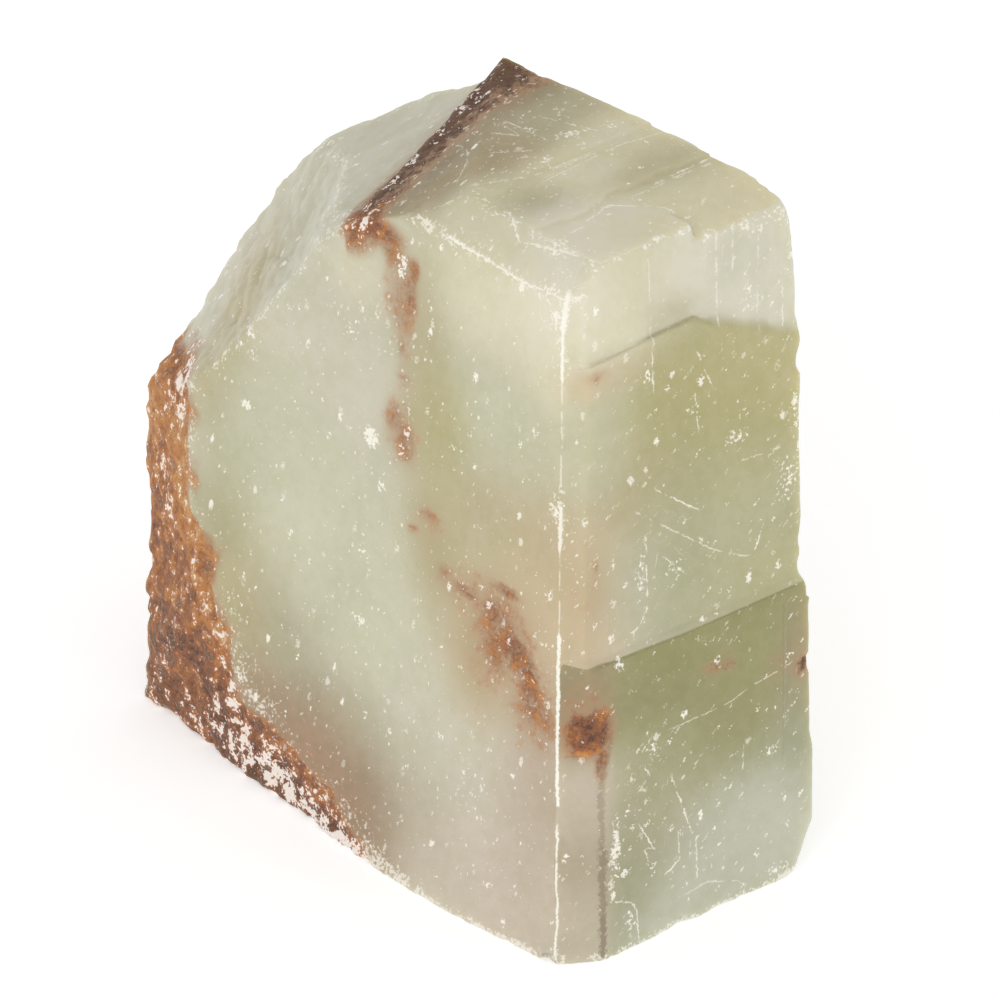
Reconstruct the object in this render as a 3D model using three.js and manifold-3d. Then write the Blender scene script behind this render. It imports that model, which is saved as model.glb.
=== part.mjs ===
// A broken cleavage block of cloudy green calcite with an iron-stained rim, in millimetres, +Z up.
// The block rests on its flat lower cleavage face at z = 0. The origin is the middle of the
// rectangle that the whole block covers, seen from above.
//
// Points on the block are given along its own three cleavage edges, which meet in the lower front
// corner: [right, left, up] are distances along the lower right-hand edge, along the lower
// left-hand edge and up the front edge. So right = 0 is the wide left-hand face, left = 0 is the
// narrow right-hand face and up = 0 is the face that the block rests on.

import * as THREE from 'three';
import { mergeVertices } from 'three/addons/utils/BufferGeometryUtils.js';
import { ImprovedNoise } from 'three/addons/math/ImprovedNoise.js';
import Module from 'manifold-3d';

const wasm = await Module();
wasm.setup();

// Driving dimensions. BLOCK_TURN is measured from -X to the lower left-hand edge, and CORE is a
// point well inside the block.
const CLEAVAGE_ANGLE = THREE.MathUtils.degToRad(78.08); // the acute angle of calcite's faces
const BLOCK_TURN = THREE.MathUtils.degToRad(42);
const FRONT_CORNER = new THREE.Vector3(9.48, -33.84, 0);
const LEFT_LENGTH = 66;
const RIGHT_LENGTH = 32;
const TOP = 73;
const CORE = [14, 28, 34];

// The rusted ridge runs across the top from the outer left-hand corner to the highest point.
const RIDGE_LOW = [0, 30.7, 65.8];
const RIDGE_HIGH = [24.1, 36.3, TOP];

// Broken surfaces. Each is a plane through three points, with swells of the given height and
// length, and grit of the given height, sampled every cell millimetres.
const SLAB_SPAN = 200;
const SLAB_DEPTH = 60;
const GRIT_LENGTH = 2.3;
const WELD = 0.02;
const SMOOTH = { swell: 0, length: 10, grit: 0, cell: 200 };
const WAVY = { swell: 0.5, length: 14, grit: 0.12, cell: 4.6 };
const ROUGH = { swell: 0.9, length: 6, grit: 0.45, cell: 2.4 };

const TOP_BEVEL = { through: [[2.5, 1, 72.4], [0, 2.5, 68.3], [0, 21.9, 69.8]], ...SMOOTH };
const TOP_DIP = { through: [RIDGE_HIGH, RIDGE_LOW, [2.5, 17.5, TOP]], ...WAVY };
const TOP_RIGHT_DIP = { through: [[15, 0, 70.4], [25.4, 0, 70.3], [25.3, 5, 72.4]], ...WAVY };
const TOP_RIGHT_BEVEL = { through: [[14.5, 0, 70.2], [25.6, 0, 68.5], [25.4, 1.2, 71]], ...WAVY };
const RIDGE_WALL = { through: [RIDGE_HIGH, RIDGE_LOW, [23.3, 38.1, 69.5]], ...ROUGH };
const SHOULDER = { through: [[0, 31.5, 65.2], [24.5, 40, 69.2], [24.5, 53.8, 61.8]], ...WAVY };
const LEFT_SLOPE = { through: [RIDGE_LOW, [0, 50.4, 47.4], [14.4, 60, 52.2]], ...WAVY };
const LEFT_NOSE = { through: [[5, 64.6, 34.6], [3.5, 54.8, 45.8], [13, 60.4, 45.8]], ...ROUGH };
const UPPER_RIND = { through: [[0, 52.3, 0], [0, 52.3, 40], [5, 63.9, 20]], ...ROUGH };
const LOWER_RIND = { through: [[0, 27, 0], [0, 46.3, 14.6], [4.5, 60, 0]], ...ROUGH };
const LEFT_END = { through: [[5.2, 63.9, 0], [5, 64.7, 34], [14.4, 61.2, 52]], ...ROUGH };
const BACK_LEFT = { through: [[24.5, 44, 66], [14.4, 61.3, 52], [24.5, 46, 10]], ...ROUGH };
const BACK_TOP = { through: [[25, 0, 68.5], [27.4, 0, 57.3], [24.2, 36, TOP]], ...WAVY };
const BACK_MIDDLE = { through: [[27.4, 0, 57.3], [28.7, 0, 31], [24.6, 50, 45]], ...WAVY };
const BACK_LOWER = { through: [[29.3, 0, 28.2], [30.2, 0, 7.9], [25.4, 50, 20]], ...WAVY };
const BACK_FOOT = { through: [[31, 0, 7], [28, 0, 0], [31, 40, 7.9]], ...WAVY };
const FRONT_BEVEL = { through: [[0, 2.3, 65], [0, 1.8, 5], [1, 0, 32]], ...SMOOTH };
const LOWER_FRONT_BEVEL = { through: [[0, 1.9, 0], [0, 1.9, 22], [3.9, -0.5, 10]], ...SMOOTH };
const FRONT_CHIP = { through: [[1.6, 0, 71.4], [0, 3.4, 68.8], [0.6, 0.9, 66.6]], ...SMOOTH };

// Flat steps left by thin cleaved-off sheets. Each outline is given along the two edges that
// follow its axis in the order right, left, up, right, and is cut between the two depths.
const BEYOND = 90;
const STEPS = [
  // The top comes down in shallow ledges towards the narrow face.
  { axis: 'up', from: 72.75, to: BEYOND,
    outline: [[10.7, 17.2], [3, 15.4], [-5, 16], [-5, -5], [40, -5], [40, 17], [24, 17]] },
  { axis: 'up', from: 72.4, to: BEYOND,
    outline: [[16, 9.5], [12.3, 9.4], [8.3, 8.2], [-5, 9.6], [-5, -5], [40, -5], [40, 9.2]] },
  // Thin sheets are missing from the narrow face above each of its two open cracks.
  { axis: 'left', from: -5, to: 0, outline: [[31.2, -5], [31.4, 40], [90, 40], [90, -5]] },
  { axis: 'left', from: -5, to: 0.35, outline: [[63.2, -5], [63.2, 14.4], [61.9, 14.6],
    [59.7, 23.8], [57.3, 24.2], [57.3, 40], [90, 40], [90, -5]] },
  // The back has cleaved away in long terraces.
  { axis: 'right', from: 25.6, to: BEYOND, outline: [[14, 44], [17, 90], [46, 90], [40, 44], [26, 40]] },
  { axis: 'right', from: 27.6, to: BEYOND, outline: [[34, -5], [27, 17], [38, 24], [70, 27], [70, -5]] },
];
const FRONT_SHEET = 0.5;
const BACK_STEP_UP = 29.5;
const RIGHT_NOTCH = 14.3;
const LOWER_BEVEL_UP = 22;

// Iron-stained crust: flattened lumps over patches of the ridge and rim, and pits between them.
// The first point of a patch is a corner and the other two are its neighbours. The steps are
// shares of a patch, or of a turn, that never come round to the same place.
const LUMP_SHAPE = [1.25, 0.9, 0.5];
const LUMP_BULGE = 0.5;
const ALONG_STEP = 0.7549;
const ACROSS_STEP = 0.5698;
const SIZE_STEP = 0.618;
const TURN_STEP = 2.4;
const CRUSTS = [
  { patch: [[0.3, 31, 65.5], [24, 37.6, 71.8], [0.3, 28.6, 66.8]], count: 36, radius: 1.6 },
  { patch: [[0.3, 31, 65.5], [0.4, 25.5, 67.2], [0.1, 29, 62.5]], count: 10, radius: 1.4 },
  { patch: [[3.5, 54.5, 45.4], [5.3, 63, 33], [6.5, 56.5, 46]], count: 12, radius: 1.8 },
  { patch: [[4.2, 61.5, 36], [4.7, 61.5, 2], [1.2, 55, 36]], count: 30, radius: 2 },
  { patch: [[4.6, 60.5, 1.6], [1.4, 38, 1.6], [3.2, 59, 5]], count: 16, radius: 1.7 },
];
const PITS = [
  { patch: [[3.4, 61, 38], [3.8, 61, 4], [0.2, 53, 38]], count: 12, radius: 1.5 },
  { patch: [[1.8, 50, 2], [0, 36, 2], [-0.3, 48, 12]], count: 5, radius: 1.3 },
  { patch: [[9, 62, 30], [20, 58, 20], [9, 62, 6]], count: 6, radius: 1.8 },
];

// The block's edges. They are not square to each other, so they shear what is placed along them.
const cosine = Math.cos(CLEAVAGE_ANGLE);
const rightTurn = CLEAVAGE_ANGLE - BLOCK_TURN;
const leftEdge = new THREE.Vector3(-Math.cos(BLOCK_TURN), Math.sin(BLOCK_TURN), 0);
const rightEdge = new THREE.Vector3(Math.cos(rightTurn), Math.sin(rightTurn), 0);
const lean = leftEdge.clone().add(rightEdge).multiplyScalar(cosine / (1 - cosine));
const frontEdge = lean.clone().setZ(Math.sqrt(1 - lean.lengthSq()));
const crystal = new THREE.Matrix4().makeBasis(rightEdge, leftEdge, frontEdge).setPosition(FRONT_CORNER);

const RIGHT = new THREE.Vector3(1, 0, 0);
const LEFT = new THREE.Vector3(0, 1, 0);
const UP = new THREE.Vector3(0, 0, 1);
const AXES = {
  right: new THREE.Matrix4().makeBasis(LEFT, UP, RIGHT),
  left: new THREE.Matrix4().makeBasis(UP, RIGHT, LEFT),
  up: new THREE.Matrix4().makeBasis(RIGHT, LEFT, UP),
};

const noise = new ImprovedNoise();

function place(point) {
  return new THREE.Vector3(...point).applyMatrix4(crystal);
}

// The solid inside a closed geometry.
function solid(geometry) {
  geometry.deleteAttribute('normal');
  geometry.deleteAttribute('uv');
  const merged = mergeVertices(geometry);
  const vertProperties = new Float32Array(merged.attributes.position.array);
  const triVerts = new Uint32Array(merged.index.array);
  return new wasm.Manifold(new wasm.Mesh({ numProp: 3, vertProperties, triVerts }));
}

// A straight prism along one cleavage edge, between two distances along it.
function prism({ axis, outline, from, to }) {
  const shape = new THREE.Shape(outline.map(([x, y]) => new THREE.Vector2(x, y)));
  const geometry = new THREE.ExtrudeGeometry(shape, { depth: to - from, bevelEnabled: false });
  return solid(geometry.translate(0, 0, from).applyMatrix4(AXES[axis]).applyMatrix4(crystal));
}

// All that lies outside a broken surface: a thick slab whose inner face carries its swells and grit.
function outside({ through, swell, length, grit, cell }) {
  const [origin, second, third] = through.map(place);
  const [shiftX, shiftY, level] = through[2];
  const along = second.clone().sub(origin).normalize();
  const normal = along.clone().cross(third.clone().sub(origin)).normalize();
  if (normal.dot(place(CORE).sub(origin)) > 0) normal.negate();
  const across = normal.clone().cross(along);
  const pieces = Math.round(SLAB_SPAN / cell);
  const geometry = new THREE.BoxGeometry(SLAB_SPAN, SLAB_SPAN, SLAB_DEPTH, pieces, pieces, 1);
  geometry.translate(0, 0, SLAB_DEPTH / 2);
  const position = geometry.attributes.position;
  for (let i = 0; i < position.count; i += 1) {
    if (position.getZ(i) > SLAB_DEPTH / 2) continue;
    const x = position.getX(i) + shiftX;
    const y = position.getY(i) + shiftY;
    const swells = swell * noise.noise(x / length, y / length, level);
    position.setZ(i, swells + grit * noise.noise(x / GRIT_LENGTH, y / GRIT_LENGTH, level));
  }
  const frame = new THREE.Matrix4().makeBasis(along, across, normal).setPosition(origin);
  return solid(geometry.applyMatrix4(frame));
}

// Flattened knobbly lumps, evenly scattered over a patch and each of its own size and turn.
function lumps({ patch, count, radius }) {
  const [corner, along, across] = patch.map(place);
  along.sub(corner);
  across.sub(corner);
  const normal = along.clone().cross(across).normalize();
  const tangent = along.clone().normalize();
  const lay = new THREE.Matrix4().makeBasis(tangent, normal.clone().cross(tangent), normal);
  const fraction = (value) => value - Math.floor(value);
  let all = null;
  for (let k = 1; k <= count; k += 1) {
    const size = radius * (0.7 + 0.6 * fraction(k * SIZE_STEP));
    const geometry = new THREE.IcosahedronGeometry(size);
    const position = geometry.attributes.position;
    const point = new THREE.Vector3();
    for (let i = 0; i < position.count; i += 1) {
      point.fromBufferAttribute(position, i);
      point.multiplyScalar(1 + LUMP_BULGE * noise.noise(point.x + k * TURN_STEP, point.y, point.z));
      position.setXYZ(i, point.x, point.y, point.z);
    }
    geometry.scale(...LUMP_SHAPE).rotateZ(k * TURN_STEP).applyMatrix4(lay);
    const centre = corner.clone().addScaledVector(along, fraction(k * ALONG_STEP));
    centre.addScaledVector(across, fraction(k * ACROSS_STEP));
    const lump = solid(geometry.translate(centre.x, centre.y, centre.z));
    all = all ? all.add(lump) : lump;
  }
  return all;
}

// The whole cleavage block, as the space between its three pairs of parallel faces.
const fullBlock = prism({
  axis: 'up', from: 0, to: TOP,
  outline: [[0, -FRONT_SHEET], [RIGHT_LENGTH, -FRONT_SHEET], [RIGHT_LENGTH, LEFT_LENGTH], [0, LEFT_LENGTH]],
});
const everywhere = [[-BEYOND, -BEYOND], [BEYOND, -BEYOND], [BEYOND, BEYOND], [-BEYOND, BEYOND]];
const aboveBackStep = prism({ axis: 'up', from: BACK_STEP_UP, to: BEYOND, outline: everywhere });
const belowLowerBevel = prism({ axis: 'up', from: -BEYOND, to: LOWER_BEVEL_UP, outline: everywhere });
const behindNotch = prism({ axis: 'right', from: RIGHT_NOTCH, to: BEYOND, outline: everywhere });
const belowFloor = prism({ axis: 'up', from: -BEYOND, to: 0, outline: everywhere });

function buildCalcite() {
  const cuts = [
    ...STEPS.map(prism),
    ...[TOP_BEVEL, TOP_DIP, LEFT_SLOPE, LEFT_NOSE, UPPER_RIND, LOWER_RIND, LEFT_END].map(outside),
    ...[BACK_LEFT, BACK_TOP, BACK_LOWER, BACK_FOOT, FRONT_BEVEL, FRONT_CHIP].map(outside),
    outside(SHOULDER).intersect(outside(RIDGE_WALL)),
    outside(BACK_MIDDLE).intersect(aboveBackStep),
    outside(LOWER_FRONT_BEVEL).intersect(belowLowerBevel),
    outside(TOP_RIGHT_DIP).intersect(behindNotch),
    outside(TOP_RIGHT_BEVEL).intersect(behindNotch),
  ];
  let block = fullBlock;
  for (const cut of cuts) block = block.subtract(cut);
  for (const crust of CRUSTS) block = block.add(lumps(crust));
  for (const pits of PITS) block = block.subtract(lumps(pits));
  return block.subtract(belowFloor);
}

// The mesh of a solid, with corners that lie closer than the weld joined to one.
function weldedGeometry(manifold) {
  const { vertProperties, triVerts } = manifold.getMesh();
  const loose = new THREE.BufferGeometry();
  loose.setAttribute('position', new THREE.BufferAttribute(vertProperties, 3));
  loose.setIndex(new THREE.BufferAttribute(triVerts, 1));
  const welded = mergeVertices(loose, WELD);
  const corners = welded.index.array;
  const kept = [];
  for (let i = 0; i < corners.length; i += 3) {
    const [a, b, c] = corners.slice(i, i + 3);
    if (a !== b && b !== c && c !== a) kept.push(a, b, c);
  }
  welded.setIndex(kept);
  return welded;
}

const stone = new THREE.MeshStandardMaterial({ color: 0xbfc7a4, roughness: 0.35, metalness: 0 });
const calcite = new THREE.Mesh(weldedGeometry(buildCalcite()), stone);
calcite.name = 'calcite';

const model = new THREE.Group();
model.add(calcite);
export default model;
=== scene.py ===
"""A broken cleavage block of cloudy green calcite with an iron-stained rim, on a pale studio floor.

Points on the block are worked out in millimetres along its own three cleavage edges, which meet
in the lower front corner: [right, left, up] are distances along the lower right-hand edge, along
the lower left-hand edge and up the front edge. So right = 0 is the wide left-hand face, left = 0
is the narrow right-hand face and up = 0 is the face that the block rests on.
"""

import itertools
import math

import bpy
import numpy as np
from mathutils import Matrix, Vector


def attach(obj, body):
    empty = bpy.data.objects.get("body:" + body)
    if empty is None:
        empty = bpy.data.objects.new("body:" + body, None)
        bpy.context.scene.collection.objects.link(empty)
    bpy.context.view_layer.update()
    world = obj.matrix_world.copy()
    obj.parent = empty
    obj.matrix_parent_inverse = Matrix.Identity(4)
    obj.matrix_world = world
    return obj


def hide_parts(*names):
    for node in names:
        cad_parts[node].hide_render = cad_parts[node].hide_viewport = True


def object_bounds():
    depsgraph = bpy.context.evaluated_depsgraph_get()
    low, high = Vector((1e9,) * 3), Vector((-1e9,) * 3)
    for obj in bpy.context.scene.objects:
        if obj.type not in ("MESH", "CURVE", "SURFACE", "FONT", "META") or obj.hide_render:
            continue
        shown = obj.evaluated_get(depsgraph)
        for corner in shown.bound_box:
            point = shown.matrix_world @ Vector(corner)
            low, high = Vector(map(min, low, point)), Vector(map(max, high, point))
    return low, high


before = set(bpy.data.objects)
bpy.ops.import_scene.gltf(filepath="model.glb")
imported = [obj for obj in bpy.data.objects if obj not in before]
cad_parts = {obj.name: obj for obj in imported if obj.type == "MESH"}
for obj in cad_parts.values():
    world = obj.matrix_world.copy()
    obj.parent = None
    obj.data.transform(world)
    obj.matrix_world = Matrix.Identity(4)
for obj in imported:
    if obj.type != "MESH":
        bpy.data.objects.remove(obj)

bl_info = {
    "name": "Calcite Cleavage Block",
    "version": (1, 0, 0),
    "blender": (4, 5, 0),
    "location": "3D Viewport > Sidebar > Calcite",
    "description": "Builds a cloudy green calcite block with an iron-stained rim, and its stage",
    "category": "Object",
}

BODY = "root"
NODE = "calcite"
CAD_LOW, CAD_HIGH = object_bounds()
MM = 0.001
RIGHT, LEFT, UP = 0, 1, 2

# The block's cleavage directions and lengths, in millimetres, as in the CAD solid, and a point
# deep inside it.
CLEAVAGE_ANGLE = math.radians(78.08)
BLOCK_TURN = math.radians(42)
FRONT_CORNER = np.array([9.48, -33.84, 0.0])
RIGHT_LENGTH, LEFT_LENGTH, TOP = 32.0, 66.0, 73.0
CORE = (14, 28, 34)
RIDGE_LOW = (0, 30.7, 65.8)
RIDGE_HIGH = (24.1, 36.3, TOP)

# The rays that the surface is sampled along: a box in cleavage directions, its cells, and between
# which shares of a target's distance each ray is cut.
RAY_CENTRE = np.array([13.5, 31.0, 36.5])
RAY_BOX = np.array([28.5, 64.0, 73.0])
CELLS = (72, 156, 168)
CLOSE_ENDS = 0.3
REACH = (0.2, 1.5)
HALVINGS = 20

# Broken faces as planes through three points, with how rough each is. The left nose, the left end
# and the back's two upper faces lie up to 2.5 mm off the CAD solid's own planes.
SMOOTH, WAVY, ROUGH, LUMPY = 0, 1, 2, 3
BREAKS = {
    "top_bevel": (((2.5, 1, 72.4), (0, 2.5, 68.3), (0, 21.9, 69.8)), SMOOTH),
    "top_dip": ((RIDGE_HIGH, RIDGE_LOW, (2.5, 17.5, TOP)), WAVY),
    "left_slope": ((RIDGE_LOW, (0, 50.4, 47.4), (14.4, 60, 52.2)), WAVY),
    "left_nose": (((5, 63.7, 34.4), (3.5, 52.5, 44.5), (13.6, 58.9, 49.3)), ROUGH),
    "upper_rind": (((0, 52.3, 0), (0, 52.3, 40), (5, 63.9, 20)), ROUGH),
    "lower_rind": (((0, 27, 0), (0, 46.3, 14.6), (4.5, 60, 0)), ROUGH),
    "left_end": (((5.2, 63.9, 0), (5, 64.7, 34), (14.4, 59.6, 52)), ROUGH),
    "back_left": (((24.7, 44.1, 66), (14.7, 61.4, 52), (24.5, 46.1, 10)), ROUGH),
    "back_top": (((26.1, 0, 68.5), (28.1, 0, 57.3), (23.9, 36, TOP)), WAVY),
    "back_lower": (((29.3, 0, 28.2), (30.2, 0, 7.9), (25.4, 50, 20)), WAVY),
    "back_foot": (((31, 0, 7), (28, 0, 0), (31, 40, 7.9)), WAVY),
    "front_bevel": (((0, 2.3, 65), (0, 1.8, 5), (1, 0, 32)), SMOOTH),
    "front_chip": (((1.6, 0, 71.4), (0, 3.4, 68.8), (0.6, 0.9, 66.6)), SMOOTH),
}
# The nose's face moves out by the first of these, from none at the second distance to the left to
# all of it at the third.
NOSE_LIFT = (1.6, 46.0, 36.0)
# Broken faces that hold only on one side of a limit, which face_distances gives.
PART_BREAKS = {
    "shoulder": (((0, 31.5, 65.2), (24.5, 40, 69.2), (24.5, 53.8, 61.8)), WAVY),
    "back_middle": (((27.4, 0, 57.3), (28.7, 0, 31), (24.6, 50, 45)), WAVY),
    "lower_front_bevel": (((0, 1.9, 0), (0, 1.9, 22), (3.9, -0.5, 10)), SMOOTH),
    "top_right_dip": (((15, 0, 70.4), (25.4, 0, 70.3), (25.3, 5, 72.4)), WAVY),
    "top_right_bevel": (((14.5, 0, 70.2), (25.6, 0, 68.5), (25.4, 1.2, 71)), WAVY),
}
RIDGE_WALL = ((RIDGE_HIGH, RIDGE_LOW, (23.3, 38.1, 69.5)), LUMPY)
BACK_STEP_UP, LOWER_BEVEL_UP, RIGHT_NOTCH = 29.5, 22.0, 14.3
# Terraces of the back: how far to the right, and the outline as (left, up).
BACK_TERRACES = (
    (25.6, ((14, 44), (17, 90), (46, 90), (40, 44), (26, 40))),
    (27.6, ((34, -5), (27, 17), (38, 24), (70, 27), (70, -5))),
)

# Columns of face_distances by name, and those that are the top, border it or show neither white edge wear nor
# the painted glow of edges.
FACES = ("wide", "narrow", "lid", "base", "right_limit", "left_limit", *BREAKS, *PART_BREAKS)
LID_FACES = ("lid", "top_dip", "top_right_dip")
LID_NEIGHBOURS = ("wide", "narrow", "top_bevel", "left_slope", "front_chip", "shoulder", "top_right_bevel")
FACES_WITHOUT_EDGE_WHITE = (
    "top_dip", "back_left", "back_top", "back_lower", "back_foot", "front_bevel", "back_middle",
    "lower_front_bevel", "top_right_dip",
)

# Noises by use: height, length in millimetres, seed and number of layers.
NOISES = {
    "waves": (1, 14, 21, 2), "wave_grit": (1, 2.3, 23, 2), "lumps": (1, 6, 25, 2),
    "fine_grit": (1, 1.1, 35, 2), "rounding": (1, 3.0, 41, 2), "upper_crack": (0.25, 1.4, 61, 1),
    "chips": (1, 1.9, 65, 2), "wide_swell": (0.12, 19, 71, 1), "wide_ripple": (0.05, 5, 72, 1),
    "narrow_swell": (0.06, 6, 73, 1), "flutes": (0.24, 1.3, 74, 1), "top_swell": (0.05, 6, 75, 1),
    "ledges": (0.2, 2.0, 76, 1), "stain": (1, 5, 81, 3), "stain_grit": (1, 1.7, 83, 2),
    "vein": (1, 7, 85, 2), "drift": (0.13, 9.0, 91, 3),
}
LUMP_KNOBS, CRUST_KNOBS = (2.3, 27), (1.5, 29)
LAYER_TURN = np.array([[0.36, 0.48, -0.8], [-0.8, 0.6, 0.0], [0.48, 0.64, 0.6]])
HASH_STEPS = (374761393, 668265263, 2246822519)
HASH_SEED, HASH_MIX = 3266489917, 1274126177

# Swell, grit and fine grit of each roughness, and the crust's lumps, in millimetres. The relief
# grows from none to full between the two distances of CALM from the ridge's high end.
RELIEF_HEIGHTS = ((0.0, 0.0, 0.012), (0.25, 0.12, 0.04), (0.6, 0.4, 0.16), (0.2, 0.3, 0.1))
CALM = (0.5, 6.0)
CRUST_HEIGHT, CRUST_STEP, RIDGE_CRUST = 0.32, (0.35, 0.9), 0.2
# Rounding of the edges: of the plain block, least, away from the ridge, and of worn stretches.
PLAIN_ROUNDING, LEAST_ROUNDING, CALM_ROUNDING, WORN_ROUNDING = 0.15, 0.06, 0.04, 0.3
WORN_STEP = (0.15, 0.8)

# Low relief of the flat faces, in millimetres. A limit is a direction, where a ramp along it is 0
# and where it is 1. The two open cracks of the narrow face are heights along it.
UPPER_CRACK = ((-5, 4.9, 8.8, 14.4, 15.2, 18.3, 22.1, 26.8), (62.6, 62.6, 62.9, 63.1, 62.5, 61.3, 59.7, 57.5))
LOWER_CRACK = ((-5, 0.8, 4.5, 16.4, 27.9, 40), (32.4, 31.6, 31.2, 30.9, 30.9, 31.0))
CAP_DEPTH, SHEET_PROUD = 0.35, 0.5
CRACK_RAGGED = (RIGHT, 12, 18)
CRACK_SOFTNESS = (0.2, 0.9, (RIGHT, 13.5, 17))
LOW_STEP = (-0.15, 0.15)
FLUTE_LENGTHENING, FLUTED = 0.08, (RIGHT, 13.5, 16)
CAP_STEPS = ((0.15, (RIGHT, 8.5, 8.9)), (-0.12, (RIGHT, 16.8, 17.2)))
FOOT_STEP = (0.25, (RIGHT, 25.9, 26.4), (UP, 30, 28), (UP, 13, 15))
# The wide face's swelling foot: height, its middle and spread to the left, and its limit.
FOOT_SWELL = (0.8, 17, 10, (UP, 14, 0))
BASE_CHIPS = (0.55, (0.0, 0.7), (2.2, 0.3))
# Low ledges of the top: depth, and the border's place to the left by its distance to the right.
TOP_LEDGES = (
    (0.25, (-5, 3, 10.7, 24, 40), (16, 15.4, 17.2, 17, 17)),
    (0.35, (-5, 8.3, 12.3, 16, 40), (9.6, 8.2, 9.4, 9.5, 9.2)),
)

# Tones of the stone: for each, where it lies, how far it spreads and how strong it is.
HEART_ZONES = {
    "sea_green": (
        ((0, 41, 36), (16, 8, 11), 1.6), ((0, 29, 29), (14, 8, 7), 1.3), ((0, 9, 54), (8, 6, 5), 1.2),
        ((3, 0, 55), (3.5, 5, 5), 1.2),
    ),
    "cloud": (
        ((0, 35, 51), (14, 8, 8), 1.6), ((0, 27, 57), (10, 6, 7), 0.9), ((0, 17, 16), (9, 8, 9), 0.9),
        ((8, 0, 38), (3.5, 4, 5), 0.9), ((8, 40, 66), (15, 7, 6), 1.4), ((5, 45, 58), (9, 7, 6), 1.0),
    ),
    "cream": (
        ((0, 29.5, 61), (5, 3.5, 3), 0.9), ((0, 7, 66), (9, 9, 5), 2.2), ((0, 3.5, 62), (5, 2.5, 4), 1.2),
    ),
    "honey": (
        ((0, 50, 49), (10, 5, 4), 2.0), ((0, 50, 42), (10, 3, 4), 1.0), ((0, 46, 19), (9, 4.5, 9), 2.4),
        ((0, 18.5, 36), (6, 3, 6), 1.3), ((0, 13.5, 28), (6, 3, 5), 0.8), ((0, 20.5, 56), (7, 2.5, 8), 1.0),
        ((0, 10, 41), (8, 7, 6), 1.0), ((8, 0, 47), (5, 6, 4), 0.9),
    ),
    "moss": (((0, 47.5, 27), (9, 3.5, 6), 0.7),),
    "khaki": (((0, 40, 19), (9, 4, 6), 1.2), ((0, 30, 13), (8, 6, 4), 0.9)),
    "mauve": (
        ((0, 37, 7), (12, 8.5, 5.5), 6.0), ((0, 31, 4.5), (9, 5.5, 4.5), 4.2),
        ((0, 43.5, 12), (8, 3, 3.5), 1.6), ((0, 3, 16), (5, 5, 6), 0.8),
    ),
    "blush": (
        ((0, 12.5, 28), (6, 4, 6), 1.4), ((1, 3, 37), (5, 5, 9), 1.3), ((1, 0, 60.5), (5, 3.5, 1.8), 1.6),
    ),
    "chalk": (((0, 5, 7), (7, 6, 12), 2.2), ((0, 17, 7), (7, 8, 5), 1.5)),
    "olive": (
        ((0, 18.5, 50), (7, 3.5, 5.5), 1.2), ((13, 0, 56), (8, 8, 6), 2.2), ((22, 0, 51), (7, 8, 7), 2.0),
        ((24, 0, 34), (6, 8, 4), 1.0),
    ),
    "pearl": (((0, 4, 66), (8, 5, 4), 1.6), ((1, 3, 72), (5, 4, 3.5), 2.0)),
    "sage": (((17, 0, 42), (9, 8, 7), 1.5), ((21, 0, 35), (8, 10, 5), 2.4)),
    "taupe": (((12, 35.5, 69), (14, 3.5, 4), 0.9),),
}
# The cap above the narrow face's upper crack and the slab below its lower crack: partly the stone's own
# tones, partly painted light, as their steps in brightness at the cracks stand in for light thrown back by
# the open cracks.
SHEET_ZONES = {
    "cream": (((5, 0, 67), (6, 9, 6), 2.0),),
    "pearl": (((1, 0, 69), (4, 5, 4), 1.6), ((14, 0, 67), (5, 9, 8), 1.6), ((23, 0, 66), (5, 9, 8), 1.8)),
    "olive": (((12, 0, 64.4), (2.2, 4, 1.3), 1.1), ((11, 0, 33), (5, 6, 3), 0.5)),
    "moss": (((10, 0, 28.5), (12, 9, 5), 2.2), ((22, 0, 27), (9, 9, 6), 2.0), ((19, 0, 18), (7, 8, 5), 1.3)),
    "taupe": (((1.5, 0, 28), (2.8, 5, 4.5), 4.0), ((28.5, 0, 24), (3, 5, 5), 2.2)),
    "slate": (((28, 0, 16), (3, 5, 5), 1.6), ((7, 0, 7), (3, 5, 8), 0.8)),
    "sage": (((12, 0, 19), (5, 6, 4), 0.9),),
    "khaki": (((9, 0, 12), (8, 8, 6), 1.4),),
    "frost": (((17, 0, 9), (6, 8, 5), 0.9), ((24, 0, 6), (8, 9, 7), 1.8), ((16, 0, 1), (10, 9, 3.5), 1.2)),
    "chalk": (((1.5, 0, 17), (2.8, 4, 5), 3.4), ((1.5, 0, 5), (2.5, 4, 6), 2.2)),
    "mauve": (((1.5, 0, 11), (2.0, 4, 3), 1.0),),
}
LID_ZONES = {
    "umber": (
        ((20, 35, 73), (8, 4, 6), 3.2), ((15, 31, 73), (7, 3.5, 5), 2.0), ((8, 27.5, 70), (6, 3, 5), 1.8),
    ),
    "taupe": (((10, 22.5, 73), (5, 3, 5), 1.5), ((1.5, 22.5, 70), (2.5, 2.5, 4), 1.5)),
    "khaki": (
        ((17, 24, 73), (6, 3, 5), 1.4), ((6.3, 12.5, 73), (3, 2.5, 3), 1.3),
        ((20, 10, 73), (6, 2.5, 3), 0.8),
    ),
    "straw": (
        ((2.3, 16, 72), (3.5, 3, 4), 1.2), ((11, 3, 73), (5, 4, 4), 2.4), ((14, 15, 73), (5, 3.5, 4), 2.2),
        ((22, 17, 73), (5, 3.5, 4), 2.4), ((20, 3, 73), (6, 6, 4), 3.0),
    ),
    "pearl": (((4, 4, 73), (7, 6, 4), 4.0),),
}
BASE_SHARE = 0.25
# Painted light: the top's tones are lifted by this gain to make up for the weaker light that the top gets.
LID_LIGHT_GAIN = np.array([1.12, 1.1, 1.06])
DRIFT_BALANCE = np.array([1.0, 0.95, 1.3])

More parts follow.
